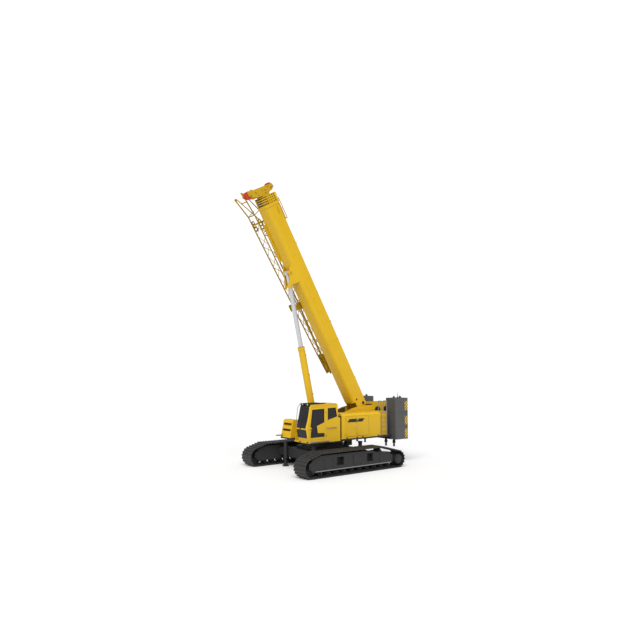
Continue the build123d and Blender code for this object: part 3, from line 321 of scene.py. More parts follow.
def slab(name, low, high, edge=0.004):
    """Plate or block between two corners, with its edges eased."""
    piece = block(name, [(a + b) / 2 for a, b in zip(low, high)], [b - a for a, b in zip(low, high)])
    edit(piece)
    bpy.ops.mesh.bevel(offset=edge, segments=2, affect="EDGES")
    rest()
    return piece


def turned(name, profile, start, along, sides=20):
    """Lathe work: (radius, height) pairs swept round the line that leaves start."""
    rest()
    bpy.ops.mesh.primitive_circle_add(
        vertices=sides, radius=profile[0][0], fill_type="NGON", location=(0.0, 0.0, profile[0][1]))
    piece = settled(named(name))
    edit(piece)
    for (r0, z0), (r1, z1) in zip(profile, profile[1:]):
        bpy.ops.mesh.extrude_region_move(TRANSFORM_OT_translate={"value": (0.0, 0.0, z1 - z0)})
        bpy.ops.transform.resize(value=(r1 / r0, r1 / r0, 1.0), center_override=(0.0, 0.0, z1))
    bpy.ops.mesh.select_all(action="SELECT")
    bpy.ops.mesh.normals_make_consistent(inside=False)
    turn = Vector(along).to_track_quat("Z", "Y").to_matrix().to_4x4()
    return settled(piece, Matrix.Translation(start) @ turn)


def plate(name, outline, push, edge=0.002):
    """Flat plate from its outline's corners, thickened along a vector, with its edges eased."""
    rest()
    bpy.ops.mesh.primitive_circle_add(vertices=len(outline), fill_type="NGON")
    piece = named(name)
    for vertex, corner in zip(piece.data.vertices, outline):
        vertex.co = corner
    edit(piece)
    bpy.ops.mesh.extrude_region_move(TRANSFORM_OT_translate={"value": push})
    bpy.ops.mesh.select_all(action="SELECT")
    bpy.ops.mesh.normals_make_consistent(inside=False)
    bpy.ops.mesh.bevel(offset=edge, segments=1, affect="EDGES")
    rest()
    return piece


def rail(name, points, radius, bend=0.04, closed=False, sides=3):
    """Round tube along straight runs, with every corner rounded."""
    rest()
    bpy.ops.curve.primitive_bezier_curve_add()
    piece = named(name)
    line = piece.data
    line.splines.clear()
    points = [Vector(point) for point in points]
    knots = []
    for i, point in enumerate(points):
        if not closed and i in (0, len(points) - 1):
            knots.append((point, None, None))
            continue
        back = (points[i - 1] - point).normalized()
        ahead = (points[(i + 1) % len(points)] - point).normalized()
        knots.append((point + back * bend, None, point + back * bend * 0.45))
        knots.append((point + ahead * bend, point + ahead * bend * 0.45, None))
    spline = line.splines.new("BEZIER")
    spline.bezier_points.add(len(knots) - 1)
    for knot, (place, before, after) in zip(spline.bezier_points, knots):
        knot.handle_left_type = knot.handle_right_type = "FREE"
        knot.co = place
        knot.handle_left = before or place
        knot.handle_right = after or place
    spline.use_cyclic_u = closed
    line.dimensions = "3D"
    line.resolution_u = 4
    line.bevel_depth = radius
    line.bevel_resolution = sides
    line.use_fill_caps = not closed
    piece.matrix_world = Matrix.Identity(4)
    pick(piece)
    bpy.ops.object.convert(target="MESH")
    return bpy.context.object


def joined(pieces):
    """Several pieces as one."""
    pick(pieces[0])
    for piece in pieces:
        piece.select_set(True)
    if len(pieces) > 1:
        bpy.ops.object.join()
    return settled(pieces[0])


def copies(piece, matrices):
    """The piece with a copy of it at each matrix, every copy with its own mesh, as one piece."""
    made = [piece]
    for matrix in matrices:
        pick(piece)
        bpy.ops.object.duplicate()
        made.append(bpy.context.object)
        made[-1].matrix_world = matrix @ piece.matrix_world
    return joined(made)


def shifted(*steps):
    return [Matrix.Translation(step) for step in steps]


def repeats(step, count):
    """Matrices that set a row of copies, each a step further on."""
    return shifted(*[[part * i for part in step] for i in range(1, count + 1)])


def round_about(centre, axis, count):
    """Matrices that turn a piece to the other places of a ring."""
    centre = Matrix.Translation(centre)
    turns = [Matrix.Rotation(math.tau * i / count, 4, axis) for i in range(1, count)]
    return [centre @ turn @ centre.inverted() for turn in turns]


def flat(y, *corners):
    """Points at one y from their x and z."""
    return [(x, y, z) for x, z in corners]


def window(low, high, foot, head):
    """Corners of a panel between two y, from the x and z of its foot and its head."""
    (x0, z0), (x1, z1) = foot, head
    return (x0, low, z0), (x0, high, z0), (x1, high, z1), (x1, low, z1)


def across(piece):
    """The piece and its mirror image over the crane's middle plane, as one piece."""
    pick(piece)
    bpy.ops.object.duplicate()
    twin = bpy.context.object
    settled(twin, Matrix.Scale(-1.0, 4, (0.0, 1.0, 0.0)))
    edit(twin)
    bpy.ops.mesh.remove_doubles(threshold=0.00001)
    bpy.ops.mesh.normals_make_consistent(inside=False)
    return joined([piece, twin])


def bolt(name, place, along, size=0.014):
    """Hexagon head on its washer."""
    head = turned(name, ((size, 0.0), (size, size * 0.8), (size * 0.86, size)), place, along, 6)
    washer = turned(name, ((size * 1.35, -0.001), (size * 1.35, size * 0.18)), place, along, 14)
    return joined([head, washer])


def fitted(pieces, body, coat, place=None, both=False, smooth=35.0):
    """Pieces made one, mirrored if both sides have them, put in place, coated and given their body."""
    piece = joined(pieces if isinstance(pieces, list) else [pieces])
    if both:
        piece = across(piece)
    settled(piece, place)
    piece.data.materials.clear()
    piece.data.materials.append(FINISHES[coat])
    pick(piece)
    bpy.ops.object.shade_smooth_by_angle(angle=math.radians(smooth))
    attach(piece, body)
    return piece


# ---- places
JOINTS = {joint["name"]: joint for joint in frame["joints"]}
LEFT = Vector((0.0, 1.0, 0.0))
UP = Vector((0.0, 0.0, 1.0))
AHEAD = Vector((1.0, 0.0, 0.0))


def spot(joint):
    return Vector(JOINTS[joint]["pos_m"])


def leaning(origin, along):
    """Frame whose x runs along a line in the crane's middle plane and whose z stands square to it."""
    along = Vector(along).normalized()
    square = along.cross(LEFT)
    turn = Matrix((along, LEFT, square)).transposed().to_4x4()
    return Matrix.Translation(origin) @ turn


BOOM = leaning(spot("luff"), JOINTS["telescope_1"]["axis"])
CYLINDER_FOOT = Vector((0.45, 0.0, 1.8))
CYLINDER = leaning(CYLINDER_FOOT, spot("rod_swing") - CYLINDER_FOOT)


# ---- sizes
class CraneFinish(bpy.types.PropertyGroup):
    """Colours of the crane."""

    paint: bpy.props.FloatVectorProperty(name="Paint", description="Main enamel colour", subtype="COLOR", size=3,
        default=(0.68, 0.415, 0.01), min=0.0, max=1.0)


class StageSizes(bpy.types.PropertyGroup):
    """Where the camera stands and how bright the studio is."""

    ahead: bpy.props.FloatProperty(
        name="Ahead", description="Camera place ahead of the slewing axis", default=20.156, unit="LENGTH")
    aside: bpy.props.FloatProperty(
        name="Aside", description="Camera place to the left of the slewing axis", default=25.425, unit="LENGTH")
    height: bpy.props.FloatProperty(
        name="Height", description="Camera height over the ground", default=5.219, unit="LENGTH")
    lens: bpy.props.FloatProperty(name="Lens", description="Focal length in millimetres", default=33.75)
    sky: bpy.props.FloatProperty(name="Sky", description="Strength of the even light", default=0.5)
    key: bpy.props.FloatProperty(name="Key", description="Power of the main lamp", default=2.7)


class BoomSizes(bpy.types.PropertyGroup):
    """The boom's own sizes, for what is fitted along it."""

    half_width: bpy.props.FloatProperty(
        name="Half Width", description="From the middle plane to the boom's side", default=0.45, unit="LENGTH")
    base_end: bpy.props.FloatProperty(
        name="Base Length", description="From the foot pin to the first collar", default=11.95, unit="LENGTH")
    collar: bpy.props.FloatProperty(
        name="Collar", description="Length of each section's end collar", default=0.115, unit="LENGTH")


class CabSizes(bpy.types.PropertyGroup):
    """Where the cab's two sides stand."""

    inner_side: bpy.props.FloatProperty(
        name="Inner Side", description="Cab side by the boom", default=0.6, unit="LENGTH")
    outer_side: bpy.props.FloatProperty(
        name="Outer Side", description="Cab side with the door", default=1.515, unit="LENGTH")


class HoodSizes(bpy.types.PropertyGroup):
    """Where the hood's and the counterweight's outer sides stand."""

    outer_side: bpy.props.FloatProperty(
        name="Hood Side", description="Outer side of the left hood", default=1.5, unit="LENGTH")
    weight_side: bpy.props.FloatProperty(
        name="Counterweight Side", description="Outer side of a counterweight wing", default=1.786, unit="LENGTH")


class WinchSizes(bpy.types.PropertyGroup):
    """The winches' drums and their rope."""

    drum: bpy.props.FloatProperty(
        name="Drum", description="Radius of the drum under the rope", default=0.206, unit="LENGTH")
    half_width: bpy.props.FloatProperty(
        name="Half Width", description="Half of the wound length", default=0.292, unit="LENGTH")
    rope: bpy.props.FloatProperty(name="Rope", description="Rope diameter", default=0.022, unit="LENGTH")


class TrackSizes(bpy.types.PropertyGroup):
    """The tracks' gauge, shoes and end rounds."""

    gauge: bpy.props.FloatProperty(
        name="Gauge", description="Between the middles of the two tracks", default=4.76, unit="LENGTH")
    width: bpy.props.FloatProperty(name="Shoe Width", description="Width of a shoe", default=0.9, unit="LENGTH")
    pitch: bpy.props.FloatProperty(
        name="Shoe Pitch", description="From one shoe to the next", default=0.18, unit="LENGTH")
    rear_x: bpy.props.FloatProperty(
        name="Rear Axle", description="Place of the sprocket", default=-2.85, unit="LENGTH")
    rear_radius: bpy.props.FloatProperty(
        name="Rear Radius", description="Outer radius of the belt at the rear", default=0.45, unit="LENGTH")
    front_x: bpy.props.FloatProperty(name="Front Axle", description="Place of the idler", default=2.825, unit="LENGTH")
    front_radius: bpy.props.FloatProperty(
        name="Front Radius", description="Outer radius of the belt at the front", default=0.5, unit="LENGTH")
    top: bpy.props.FloatProperty(name="Top", description="Height of the belt's upper run", default=1.19, unit="LENGTH")


FINISHES = {}
# how the names of the nodes with each coat begin; the others are yellow
COATS = {
    # the jib takes the darker coat: painted shade for the boom's shadow on it
    "jib": ("jib",),
    "dull": ("boom_head", "luff_pin"),
    "grey": ("counterweight",),
    "chassis": ("car_body", "deck", "engine", "final_drive", "jack_leg", "rollers", "slew_ring", "track_frame",
        "winch_drum"),
    "track": ("track_left", "track_right"),
    "chrome": ("cylinder_rod",),
    "nylon": ("hoist_sheaves", "top_sheaves"),
    "glass": ("cab_glass", "door_glass"),
    "seat": ("cab_seat",),
    "rail": ("ladder", "cab_rails"),
    "black": ("cab_guard", "work_lamps", "pivot_pins"),
}


class CRANE_OT_coats(bpy.types.Operator):
    """Give every piece of the frame its finish"""

    bl_idname = "crane.coats"
    bl_label = "Paint the Frame"

    def execute(self, context):
        FINISHES.update(make_materials(context.scene.crane_finish))
        for name, node in NODES.items():
            coat = next((coat for coat, starts in COATS.items() if name.startswith(starts)), "yellow")
            node.data.materials.clear()
            node.data.materials.append(FINISHES[coat])
        return {"FINISHED"}


class CRANE_OT_boom_fittings(bpy.types.Operator):
    """Add the plugs, studs, pad screws, grip, lugs, back rails and weld beads along the boom"""

    bl_idname = "crane.boom_fittings"
    bl_label = "Fit the Boom"

    def execute(self, context):
        side = context.scene.crane_boom.half_width
        plug = turned("boom_plugs", ((0.052, -0.004), (0.052, 0.006), (0.044, 0.012), (0.02, 0.013)),
            (0.404, side, -0.317), LEFT)
        cap = turned("boom_plugs", ((0.085, 0.003), (0.085, 0.014), (0.078, 0.019), (0.05, 0.019), (0.046, 0.015)),
            (0.0, side, 0.0), LEFT, 28)
        fitted([plug, cap], "boom", "black", BOOM, both=True)
        studs = [bolt("boom_studs", (along, side, up), LEFT, 0.022)
            for along, up in ((3.967, -0.102), (3.96, 0.142), (4.972, 0.19), (6.769, 0.186), (6.551, -0.176),
            (8.23, 0.01), (7.65, 0.02))]
        fitted(studs, "boom", "dull", BOOM, both=True)
        screw = turned("pad_screws", ((0.013, -0.002), (0.013, 0.008), (0.008, 0.011)), (9.72, side, -0.16), LEFT, 10)
        fitted(copies(screw, repeats((0.15, 0.0, 0.006), 10)), "boom", "dull", BOOM, both=True)
        near, far = side - 0.004, side + 0.055
        grip = rail("boom_grip", ((11.7, near, 0.02), (11.7, far, 0.02), (11.36, far, -0.03), (11.36, near, -0.03)),
            0.013, 0.03)
        fitted(grip, "boom", "dull", BOOM)
        lug = plate("boom_lugs", flat(side - 0.09, (1.41, 0.245), (1.56, 0.245), (1.52, 0.3), (1.45, 0.3)),
            (0.0, 0.022, 0.0), 0.006)
        hole = turned("boom_lugs", ((0.018, 0.0), (0.018, 0.03), (0.012, 0.031)), (1.485, side - 0.094, 0.273),
            LEFT, 12)
        lugs = copies(joined([lug, hole]), shifted((3.49, 0.0, 0.0), (8.1, 0.0, 0.0)))
        fitted(lugs, "boom", "yellow", BOOM, both=True)
        outer, inner = (side - 0.015, 0.345), (side - 0.2, 0.38)
        back = [rail("back_rails", ((10.95, *line), (12.06, *line)), 0.022) for line in (outer, inner)]
        back += [rail("back_rails", ((along, inner[0], 0.245), (along, *inner), (along, *outer),
            (along, side - 0.06, 0.245)), 0.018, 0.01) for along in (10.97, 11.5, 11.9)]
        fitted(back, "boom", "dull", BOOM)
        seams = []
        for along in (2.3, 5.75, 9.05):
            seams.append(rail("weld_seams", ((along, side + 0.001, -0.36), (along, side + 0.001, 0.19)), 0.006))
            seams.append(rail("weld_seams", ((along, side - 0.06, 0.251), (along, -side + 0.06, 0.251)), 0.006))
        seams.append(rail("weld_seams", ((0.25, side + 0.001, -0.345), (7.45, side + 0.001, -0.345)), 0.005))
        fitted(seams, "boom", "yellow", BOOM, both=True, smooth=60.0)
        return {"FINISHED"}


class CRANE_OT_collar_fittings(bpy.types.Operator):
    """Add the pad bolts and the dark band of painted shade in the groove of each telescoping section's end collar"""

    bl_idname = "crane.collar_fittings"
    bl_label = "Fit the Collars"

    def groove(self, sizes, name, middle):
        """Dark band of painted shade that lies in a collar's groove, all round the boom."""
        inset, half = 0.0225, sizes.collar / 2 - 0.0202
        side, top, corner = sizes.half_width - inset, 0.25 - inset, 0.055
        radius, belly = 0.23 - inset, -0.6 + inset
        outline = [(side, top - corner), (side - corner, top), (corner - side, top), (-side, top - corner)]
        for sign, first in ((-1, 180), (1, 270)):
            for angle in (math.radians(first + 15 * step) for step in range(7)):
                outline.append((sign * (side - radius) + radius * math.cos(angle),
                    belly + radius + radius * math.sin(angle)))
        band = plate(name, [(middle - half, y, z) for y, z in outline], (2 * half, 0.0, 0.0), 0.0005)
        faces(band, lambda centre, normal: abs(normal.x) > 0.9)
        bpy.ops.mesh.delete(type="FACE")
        rest()
        return modified(band, "SOLIDIFY", thickness=0.001, offset=-1.0)

    def execute(self, context):
        sizes = context.scene.crane_boom
        for section in range(1, 5):
            body, name = "boom_section_%d" % section, "collar_bolts_%d" % section
            middle = sizes.base_end + sizes.collar * (section - 0.5)
            heads = [bolt(name, (middle + step, sizes.half_width, low + 0.035), LEFT, 0.011)
                for low in (-0.33, -0.21, -0.09, 0.03) for step in (-0.03, 0.03)]
            heads.append(bolt(name, (middle, 0.36, 0.319), UP, 0.013))
            fitted(heads, body, "dull", BOOM, both=True)
            # the dark band paints the shade in the collar's groove
            fitted(self.groove(sizes, "collar_groove_shade_%d" % section, middle), body, "groove", BOOM)
        return {"FINISHED"}


class CRANE_OT_head_fittings(bpy.types.Operator):
    """Add the axle ends, keepers, rope guards and bolts of the boom head"""

    bl_idname = "crane.head_fittings"
    bl_label = "Fit the Boom Head"

    def execute(self, context):
        sizes = context.scene.crane_boom
        head = sizes.base_end + sizes.collar * 4
        cheek = 0.28
        caps, bolts = [], []
        for along, up in ((head + 0.35, -1.12), (head + 0.335, 0.36)):
            caps.append(turned("axle_ends", ((0.062, -0.002), (0.062, 0.02), (0.052, 0.028), (0.03, 0.028),
                (0.026, 0.022)), (along, cheek + 0.018, up), LEFT, 24))
            caps.append(slab("axle_ends", (along - 0.095, cheek + 0.018, up + 0.052),
                (along + 0.01, cheek + 0.036, up + 0.082), 0.003))
            bolts.append(bolt("head_bolts", (along - 0.075, cheek + 0.037, up + 0.067), LEFT, 0.011))
        bolts += [bolt("head_bolts", (head + along, cheek, up), LEFT, 0.016)
            for along, up in ((0.16, -0.62), (0.33, -0.75), (0.3, -0.3), (0.38, 0.1), (0.12, -0.15), (0.26, 0.25))]
        fitted(caps, "boom_section_4", "dull", BOOM, both=True)
        fitted(bolts, "boom_section_4", "black", BOOM, both=True)
        bars = [rail("rope_guards", ((head + along, -cheek + 0.006, up), (head + along, cheek - 0.006, up)), 0.016)
            for along, up in ((0.44, -0.905), (0.17, 0.215), (0.42, 0.135))]
        fitted(bars, "boom_section_4", "rail", BOOM)
        return {"FINISHED"}


class CRANE_OT_cylinder_fittings(bpy.types.Operator):
    """Add the gland bolts, the oil pipe with its clamps and the rod's wiper of the luffing cylinder"""

    bl_idname = "crane.cylinder_fittings"
    bl_label = "Fit the Luffing Cylinder"

    def execute(self, context):
        gland = 4.612
        ring = copies(bolt("gland_bolts", (gland, 0.0, 0.15), AHEAD, 0.011), round_about((gland, 0.0, 0.0), "X", 12))
        fitted(ring, "cylinder_barrel", "dull", CYLINDER)
        pipe = rail("barrel_pipe", flat(0.0, (0.4, 0.165), (0.4, 0.215), (4.42, 0.215), (4.42, 0.165)), 0.016, 0.05)
        fitted(pipe, "cylinder_barrel", "yellow", CYLINDER)
        clamp = slab("pipe_clamps", (0.95, -0.032, 0.168), (1.01, 0.032, 0.236), 0.006)
        fitted(copies(clamp, repeats((1.05, 0, 0), 3)), "cylinder_barrel", "black", CYLINDER)
        seal = turned("rod_wiper", ((0.15, 0.0), (0.15, 0.014), (0.121, 0.02), (0.1195, 0.02)),
            (gland - 0.001, 0.0, 0.0), AHEAD, 32)
        fitted(seal, "cylinder_barrel", "rubber", CYLINDER)
        return {"FINISHED"}


class CRANE_OT_cab_trim(bpy.types.Operator):
    """Add the gaskets, wiper, step, lamp lenses, handle, stops, visor and gutter of the cab"""

    bl_idname = "crane.cab_trim"
    bl_label = "Trim the Cab"

    def execute(self, context):
        face = context.scene.crane_cab.outer_side
        pane = face - 0.012
        low, high = context.scene.crane_cab.inner_side + 0.1, face - 0.07
        gasket = rail("rear_window_gasket", flat(pane, (0.89, 3.17), (0.37, 3.18), (0.27, 2.72), (0.89, 2.57)),
            0.011, 0.03, True, 2)
        fitted(gasket, "upper", "rubber")
        door = ((1.88, 3.13), (1.11, 3.15), (1.11, 2.47), (1.58, 2.31), (1.52, 1.96), (1.1, 1.94),
            (1.1, 1.75), (1.98, 1.74), (1.96, 2.04), (1.9, 2.08), (1.9, 2.22), (1.99, 2.28))
        fitted(rail("door_gasket", flat(pane, *door), 0.011, 0.022, True, 2), "cab_door", "rubber")
        panes = (((2.2265, 2.222), (2.012, 3.205)), ((2.148, 1.748), (2.222, 2.132)))
        fitted([rail("front_gaskets", window(low, high, *pair), 0.012, 0.03, True, 2) for pair in panes],
            "upper", "rubber")
        pivot = turned("wiper", ((0.03, 0.0), (0.03, 0.03), (0.02, 0.04)), (2.234, 1.00, 2.19), AHEAD, 16)
        arm = rail("wiper", ((2.262, 1.00, 2.19), (2.262, 1.03, 2.32), (2.165, 1.18, 2.86)), 0.008, 0.02)
        blade = rail("wiper", ((2.222, 1.12, 2.5), (2.112, 1.26, 3.02)), 0.01)
        fitted([pivot, arm, blade], "upper", "black")
        tread = slab("cab_step", (0.81, face + 0.001, 1.5), (1.99, face + 0.05, 1.545), 0.006)
        rib = slab("cab_step", (0.84, face + 0.008, 1.544), (0.855, face + 0.044, 1.552), 0.002)
        fitted([tread, copies(rib, repeats((0.07, 0, 0), 16))], "upper", "rail")
        lens = turned("lamp_lenses", ((0.034, -0.002), (0.034, 0.005), (0.026, 0.01), (0.008, 0.012)),
            (2.049, 0.74, 3.384), AHEAD, 20)
        fitted(copies(lens, shifted((0, 0.2, 0), (0, 0.615, 0))), "upper", "lens")
        boss = turned("door_handle", ((0.038, 0.0), (0.038, 0.008), (0.028, 0.014), (0.012, 0.014)),
            (1.96, face + 0.026, 2.15), LEFT, 20)
        lever = rail("door_handle", ((1.96, face + 0.036, 2.15), (1.96, face + 0.052, 2.13),
            (1.955, face + 0.052, 2.03)), 0.009, 0.015)
        fitted([boss, lever], "cab_door", "black")
        stop = slab("cab_stops", (2.045, 0.7, 1.49), (2.075, 0.8, 1.55), 0.006)
        fitted(copies(stop, shifted((0, 0.62, 0))), "upper", "rubber")
        visor = [plate("cab_visor", window(low - 0.008, high, foot, head), push, 0.001)
            for foot, head, push in (((2.018, 3.212), (2.0065, 3.268), (0.004, 0, 0.001)),
            ((2.002, 3.272), (1.908, 3.366), (0.003, 0, 0.003)))]
        fitted(visor, "upper", "black")
        drip = rail("roof_gutter", flat(face + 0.004, (0.36, 3.352), (1.88, 3.325)), 0.009)
        fitted(drip, "upper", "yellow")
        return {"FINISHED"}


class CRANE_OT_cab_inside(bpy.types.Operator):
    """Add the padded seat, its armrests, the levers and the screen in the cab"""

    bl_idname = "crane.cab_inside"
    bl_label = "Furnish the Cab"

    def cushion(self, name, low, high, axis):
        """Crowned pad with a waist between its corners and two sewn channels."""
        crown, waist = 0.018, 0.018
        channel_place, channel_width, channel_depth = 0.45, 0.09, 0.35
        middle = [(a + b) / 2 for a, b in zip(low, high)]
        size = [b - a for a, b in zip(low, high)]
        pad = block(name, middle, size)
        edit(pad)
        bpy.ops.mesh.subdivide(number_cuts=7)
        rest()
        wide = [i for i in range(3) if i != axis]
        for vertex in pad.data.vertices:
            part = [(vertex.co[i] - middle[i]) / (size[i] / 2) for i in range(3)]
            dome = (1 - part[wide[0]] ** 2) * (1 - part[wide[1]] ** 2)
            channel = math.exp(-((abs(part[1]) - channel_place) / channel_width) ** 2) * channel_depth
            vertex.co[axis] += part[axis] * crown * (dome - channel * min(1.0, dome * 3))
            for i in wide:
                vertex.co[i] -= part[i] * abs(part[i]) * waist * (1 - part[axis] ** 2)
        return modified(pad, "SUBSURF", levels=2, render_levels=2)

    def execute(self, context):
        middle = 1.0575
        seat = self.cushion("seat_cushion", (0.7, 0.845, 1.965), (1.17, 1.27, 2.075), 2)
        back = self.cushion("seat_back", (0.625, 0.855, 2.1), (0.735, 1.26, 2.8), 0)
        for pad in (seat, back):
            fitted(pad, "upper", "seat", smooth=80.0)
        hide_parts("cab_seat")
        column = turned("seat_column", ((0.16, 0.0), (0.16, 0.03), (0.09, 0.05), (0.085, 0.36), (0.15, 0.4),
            (0.15, 0.44)), (0.93, middle, 1.521), UP, 24)
        arms, levers = [], []
        for side in (-1, 1):
            y = middle + side * 0.2855
            arms.append(slab("armrests", (0.77, y - 0.055, 2.1), (1.28, y + 0.055, 2.2), 0.018))
            post = y - side * 0.03
            arms.append(slab("armrests", (0.81, post - 0.05, 1.98), (0.9, post + 0.03, 2.11), 0.01))
            levers.append(turned("control_levers", ((0.03, 0.0), (0.026, 0.02), (0.01, 0.03), (0.01, 0.07),
                (0.024, 0.1), (0.028, 0.15), (0.016, 0.175)), (1.2, y, 2.199), UP, 16))
        fitted([column, *arms], "upper", "black")
        fitted(levers, "upper", "rubber")
        stand = rail("screen_stand", ((1.96, 0.82, 1.53), (1.94, 0.82, 2.1), (1.84, 0.86, 2.36)), 0.02, 0.08)
        screen = slab("screen_stand", (1.8, 0.74, 2.34), (1.84, 0.98, 2.54), 0.01)
        fitted([stand, screen], "upper", "black")
        return {"FINISHED"}


class CRANE_OT_hood_trim(bpy.types.Operator):
    """Add the blank badge, latches, feet, hatch, grip, dark strip of painted shade before the hood and weld beads of
    the left hood
    """

    bl_idname = "crane.hood_trim"
    bl_label = "Trim the Left Hood"

    def execute(self, context):
        face = context.scene.crane_hood.outer_side
        heights = (2.37, 2.54, 2.54, 2.37)
        badges = (
            ("badge_front", "hood_door_front", (-0.44, -0.585, -1.052, -1.052)),
            ("badge_middle", "upper", (-1.07, -1.07, -1.14, -1.14)),
            ("badge_rear", "hood_door_rear", (-1.158, -1.158, -1.635, -1.49)))
        for name, body, places in badges:
            badge = plate(name, flat(face + 0.0005, *zip(places, heights)), (0, 0.004, 0), 0.001)
            fitted(badge, body, "badge")
        for name, body, x in (("front_latch", "hood_door_front", -1.01), ("rear_latch", "hood_door_rear", -1.86)):
            dish = slab(name, (x - 0.045, face + 0.001, 2.09), (x + 0.045, face + 0.01, 2.21), 0.004)
            faces(dish, lambda centre, normal: normal.y > 0.9)
            bpy.ops.mesh.inset(thickness=0.012, depth=-0.004)
            key = turned(name, ((0.018, 0.0), (0.018, 0.012), (0.012, 0.015)), (x, face + 0.006, 2.15), LEFT, 18)
            fitted([dish, key], body, "silver")
        foot = slab("hood_feet", (-1.15, face - 0.03, 1.545), (-1.07, face + 0.022, 1.6), 0.008)
        nut = bolt("hood_feet", (-1.11, face + 0.022, 1.572), LEFT, 0.012)
        feet = copies(joined([foot, nut]), shifted((-0.4, 0, 0), (-1.55, 0, 0), (0.7, 0, 0)))
        fitted(feet, "upper", "black")
        hatch = slab("hood_hatch", (-2.35, 0.72, 2.821), (-1.55, 1.28, 2.842), 0.008)
        grip = rail("hood_hatch", flat(1.2, (-1.85, 2.838), (-1.85, 2.885), (-2.05, 2.885), (-2.05, 2.838)),
            0.01, 0.02)
        fitted([hatch, grip], "upper", "yellow")
        # dark strip on the hood's front face: painted shade in the gap between the cab and the hood
        fitted(slab("hood_gap_shade", (-0.0748, 0.7, 1.6), (-0.064, 1.446, 2.7), 0.003), "upper", "rubber")
        beads = [rail("hood_seams", flat(face + 0.001, *ends), 0.004)
            for ends in (((-2.02, 1.56), (-2.02, 2.7)), ((-0.235, 1.62), (-2.72, 1.62)))]
        fitted(beads, "upper", "dull")
        return {"FINISHED"}


class CRANE_OT_right_side(bpy.types.Operator):
    """Add the locker's slats, the front step, the tank's cap and straps and the cooler's slats"""

    bl_idname = "crane.right_side"
    bl_label = "Trim the Right Side"

    def execute(self, context):
        slats = []
        for low, high, front in ((1.872, 1.983, 1.655), (2.168, 2.288, 1.59)):
            for y in (-1.335 + i * 0.178 for i in range(4)):
                outline = flat(y, (front - 0.12, low + 0.012), (front + 0.015, high - 0.045),
                    (front + 0.008, high - 0.012), (front - 0.12, high - 0.012))
                slats.append(plate("locker_slats", outline, (0, 0.135, 0), 0.004))
        fitted(slats, "upper", "black")
        stub = slab("front_step", (1.74, -1.4, 1.615), (2.1, -1.22, 1.665), 0.008)
        faces(stub, lambda centre, normal: normal.z > 0.9)
        bpy.ops.mesh.inset(thickness=0.025, depth=-0.01)
        fitted(stub, "upper", "rail")
        box_low, box_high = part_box("tank_right")
        cap = turned("tank_cap", ((0.095, -0.004), (0.095, 0.02), (0.07, 0.026), (0.07, 0.06), (0.058, 0.07)),
            (box_high[0] - 0.3, (box_low[1] + box_high[1]) / 2, box_high[2]), UP, 24)
        fitted(cap, "upper", "black")
        y0, y1, z0, z1 = box_low[1] - 0.006, box_high[1] + 0.004, box_low[2] + 0.075, box_high[2] + 0.006
        loop = ((y0, z0), (y0, z1 - 0.07), (y0 + 0.07, z1), (y1 - 0.07, z1), (y1, z1 - 0.07), (y1, z0))
        straps = [rail("tank_straps", [(x, y, z) for y, z in loop], 0.012, 0.02)
            for x in (box_low[0] + 0.3, (box_low[0] + box_high[0]) / 2, box_high[0] - 0.62)]
        fitted(straps, "upper", "dull")
        slat = plate("cooler_slats", [(-1.74, y, z) for y, z in ((-1.499, 1.83), (-1.478, 1.86), (-1.474, 1.856),
            (-1.495, 1.826))], (0.08, 0, 0), 0.001)
        panel = copies(copies(slat, repeats((0, 0, 0.075), 8)), repeats((-0.13, 0, 0), 8))
        fitted(panel, "upper", "black")
        return {"FINISHED"}


class CRANE_OT_counterweight_trim(bpy.types.Operator):
    """Add the striped plates, the aerial, the shackles, the bolts and the support posts at the rear"""

    bl_idname = "crane.counterweight_trim"
    bl_label = "Trim the Counterweight"

    def execute(self, context):
        outer = context.scene.crane_hood.weight_side
        bands = [plate("warning_stripes", flat(outer + 0.0005, (-4.4, low), (-4.4, high), (-4.642, high),
            (-4.642, low)), (0, 0.003, 0), 0.001)
            for low, high in ((2.86, 3.36), (2.07, 2.53), (1.36, 1.84))]
        fitted(bands, "upper", "stripes", both=True)
        mast = turned("aerial", ((0.035, 0.0), (0.035, 0.03), (0.016, 0.05), (0.014, 0.2), (0.007, 0.22),
            (0.005, 0.345)), (-4.25, 1.4, 3.532), UP, 14)
        fitted(mast, "upper", "black")
        shackles = []
        for x in (-3.954, -4.435):
            shackles.append(rail("shackles", ((x, 1.355, 3.578), (x, 1.35, 3.622), (x, 1.392, 3.655),
                (x, 1.434, 3.622), (x, 1.425, 3.578)), 0.011, 0.02))
            shackles.append(rail("shackles", ((x, 1.335, 3.578), (x, 1.447, 3.578)), 0.014))
        fitted(shackles, "upper", "rail", both=True)
        keys = [bolt("weight_bolts", (x, outer, z), LEFT, 0.02) for x in (-3.78, -4.33) for z in (1.42, 1.8)]
        fitted(keys, "upper", "grey", both=True)
        posts = [turned("support_posts", ((0.075, 0.0), (0.075, 0.02), (0.052, 0.03), (0.052, 0.17), (0.088, 0.19),
            (0.088, 0.3), (0.066, 0.32), (0.066, top - low)), (x, 1.2, low), UP, 16)
            for x, top, low in ((-3.51, 1.455, 0.93), (-4.13, 1.276, 0.84))]
        fitted(posts, "upper", "black", both=True)
        return {"FINISHED"}


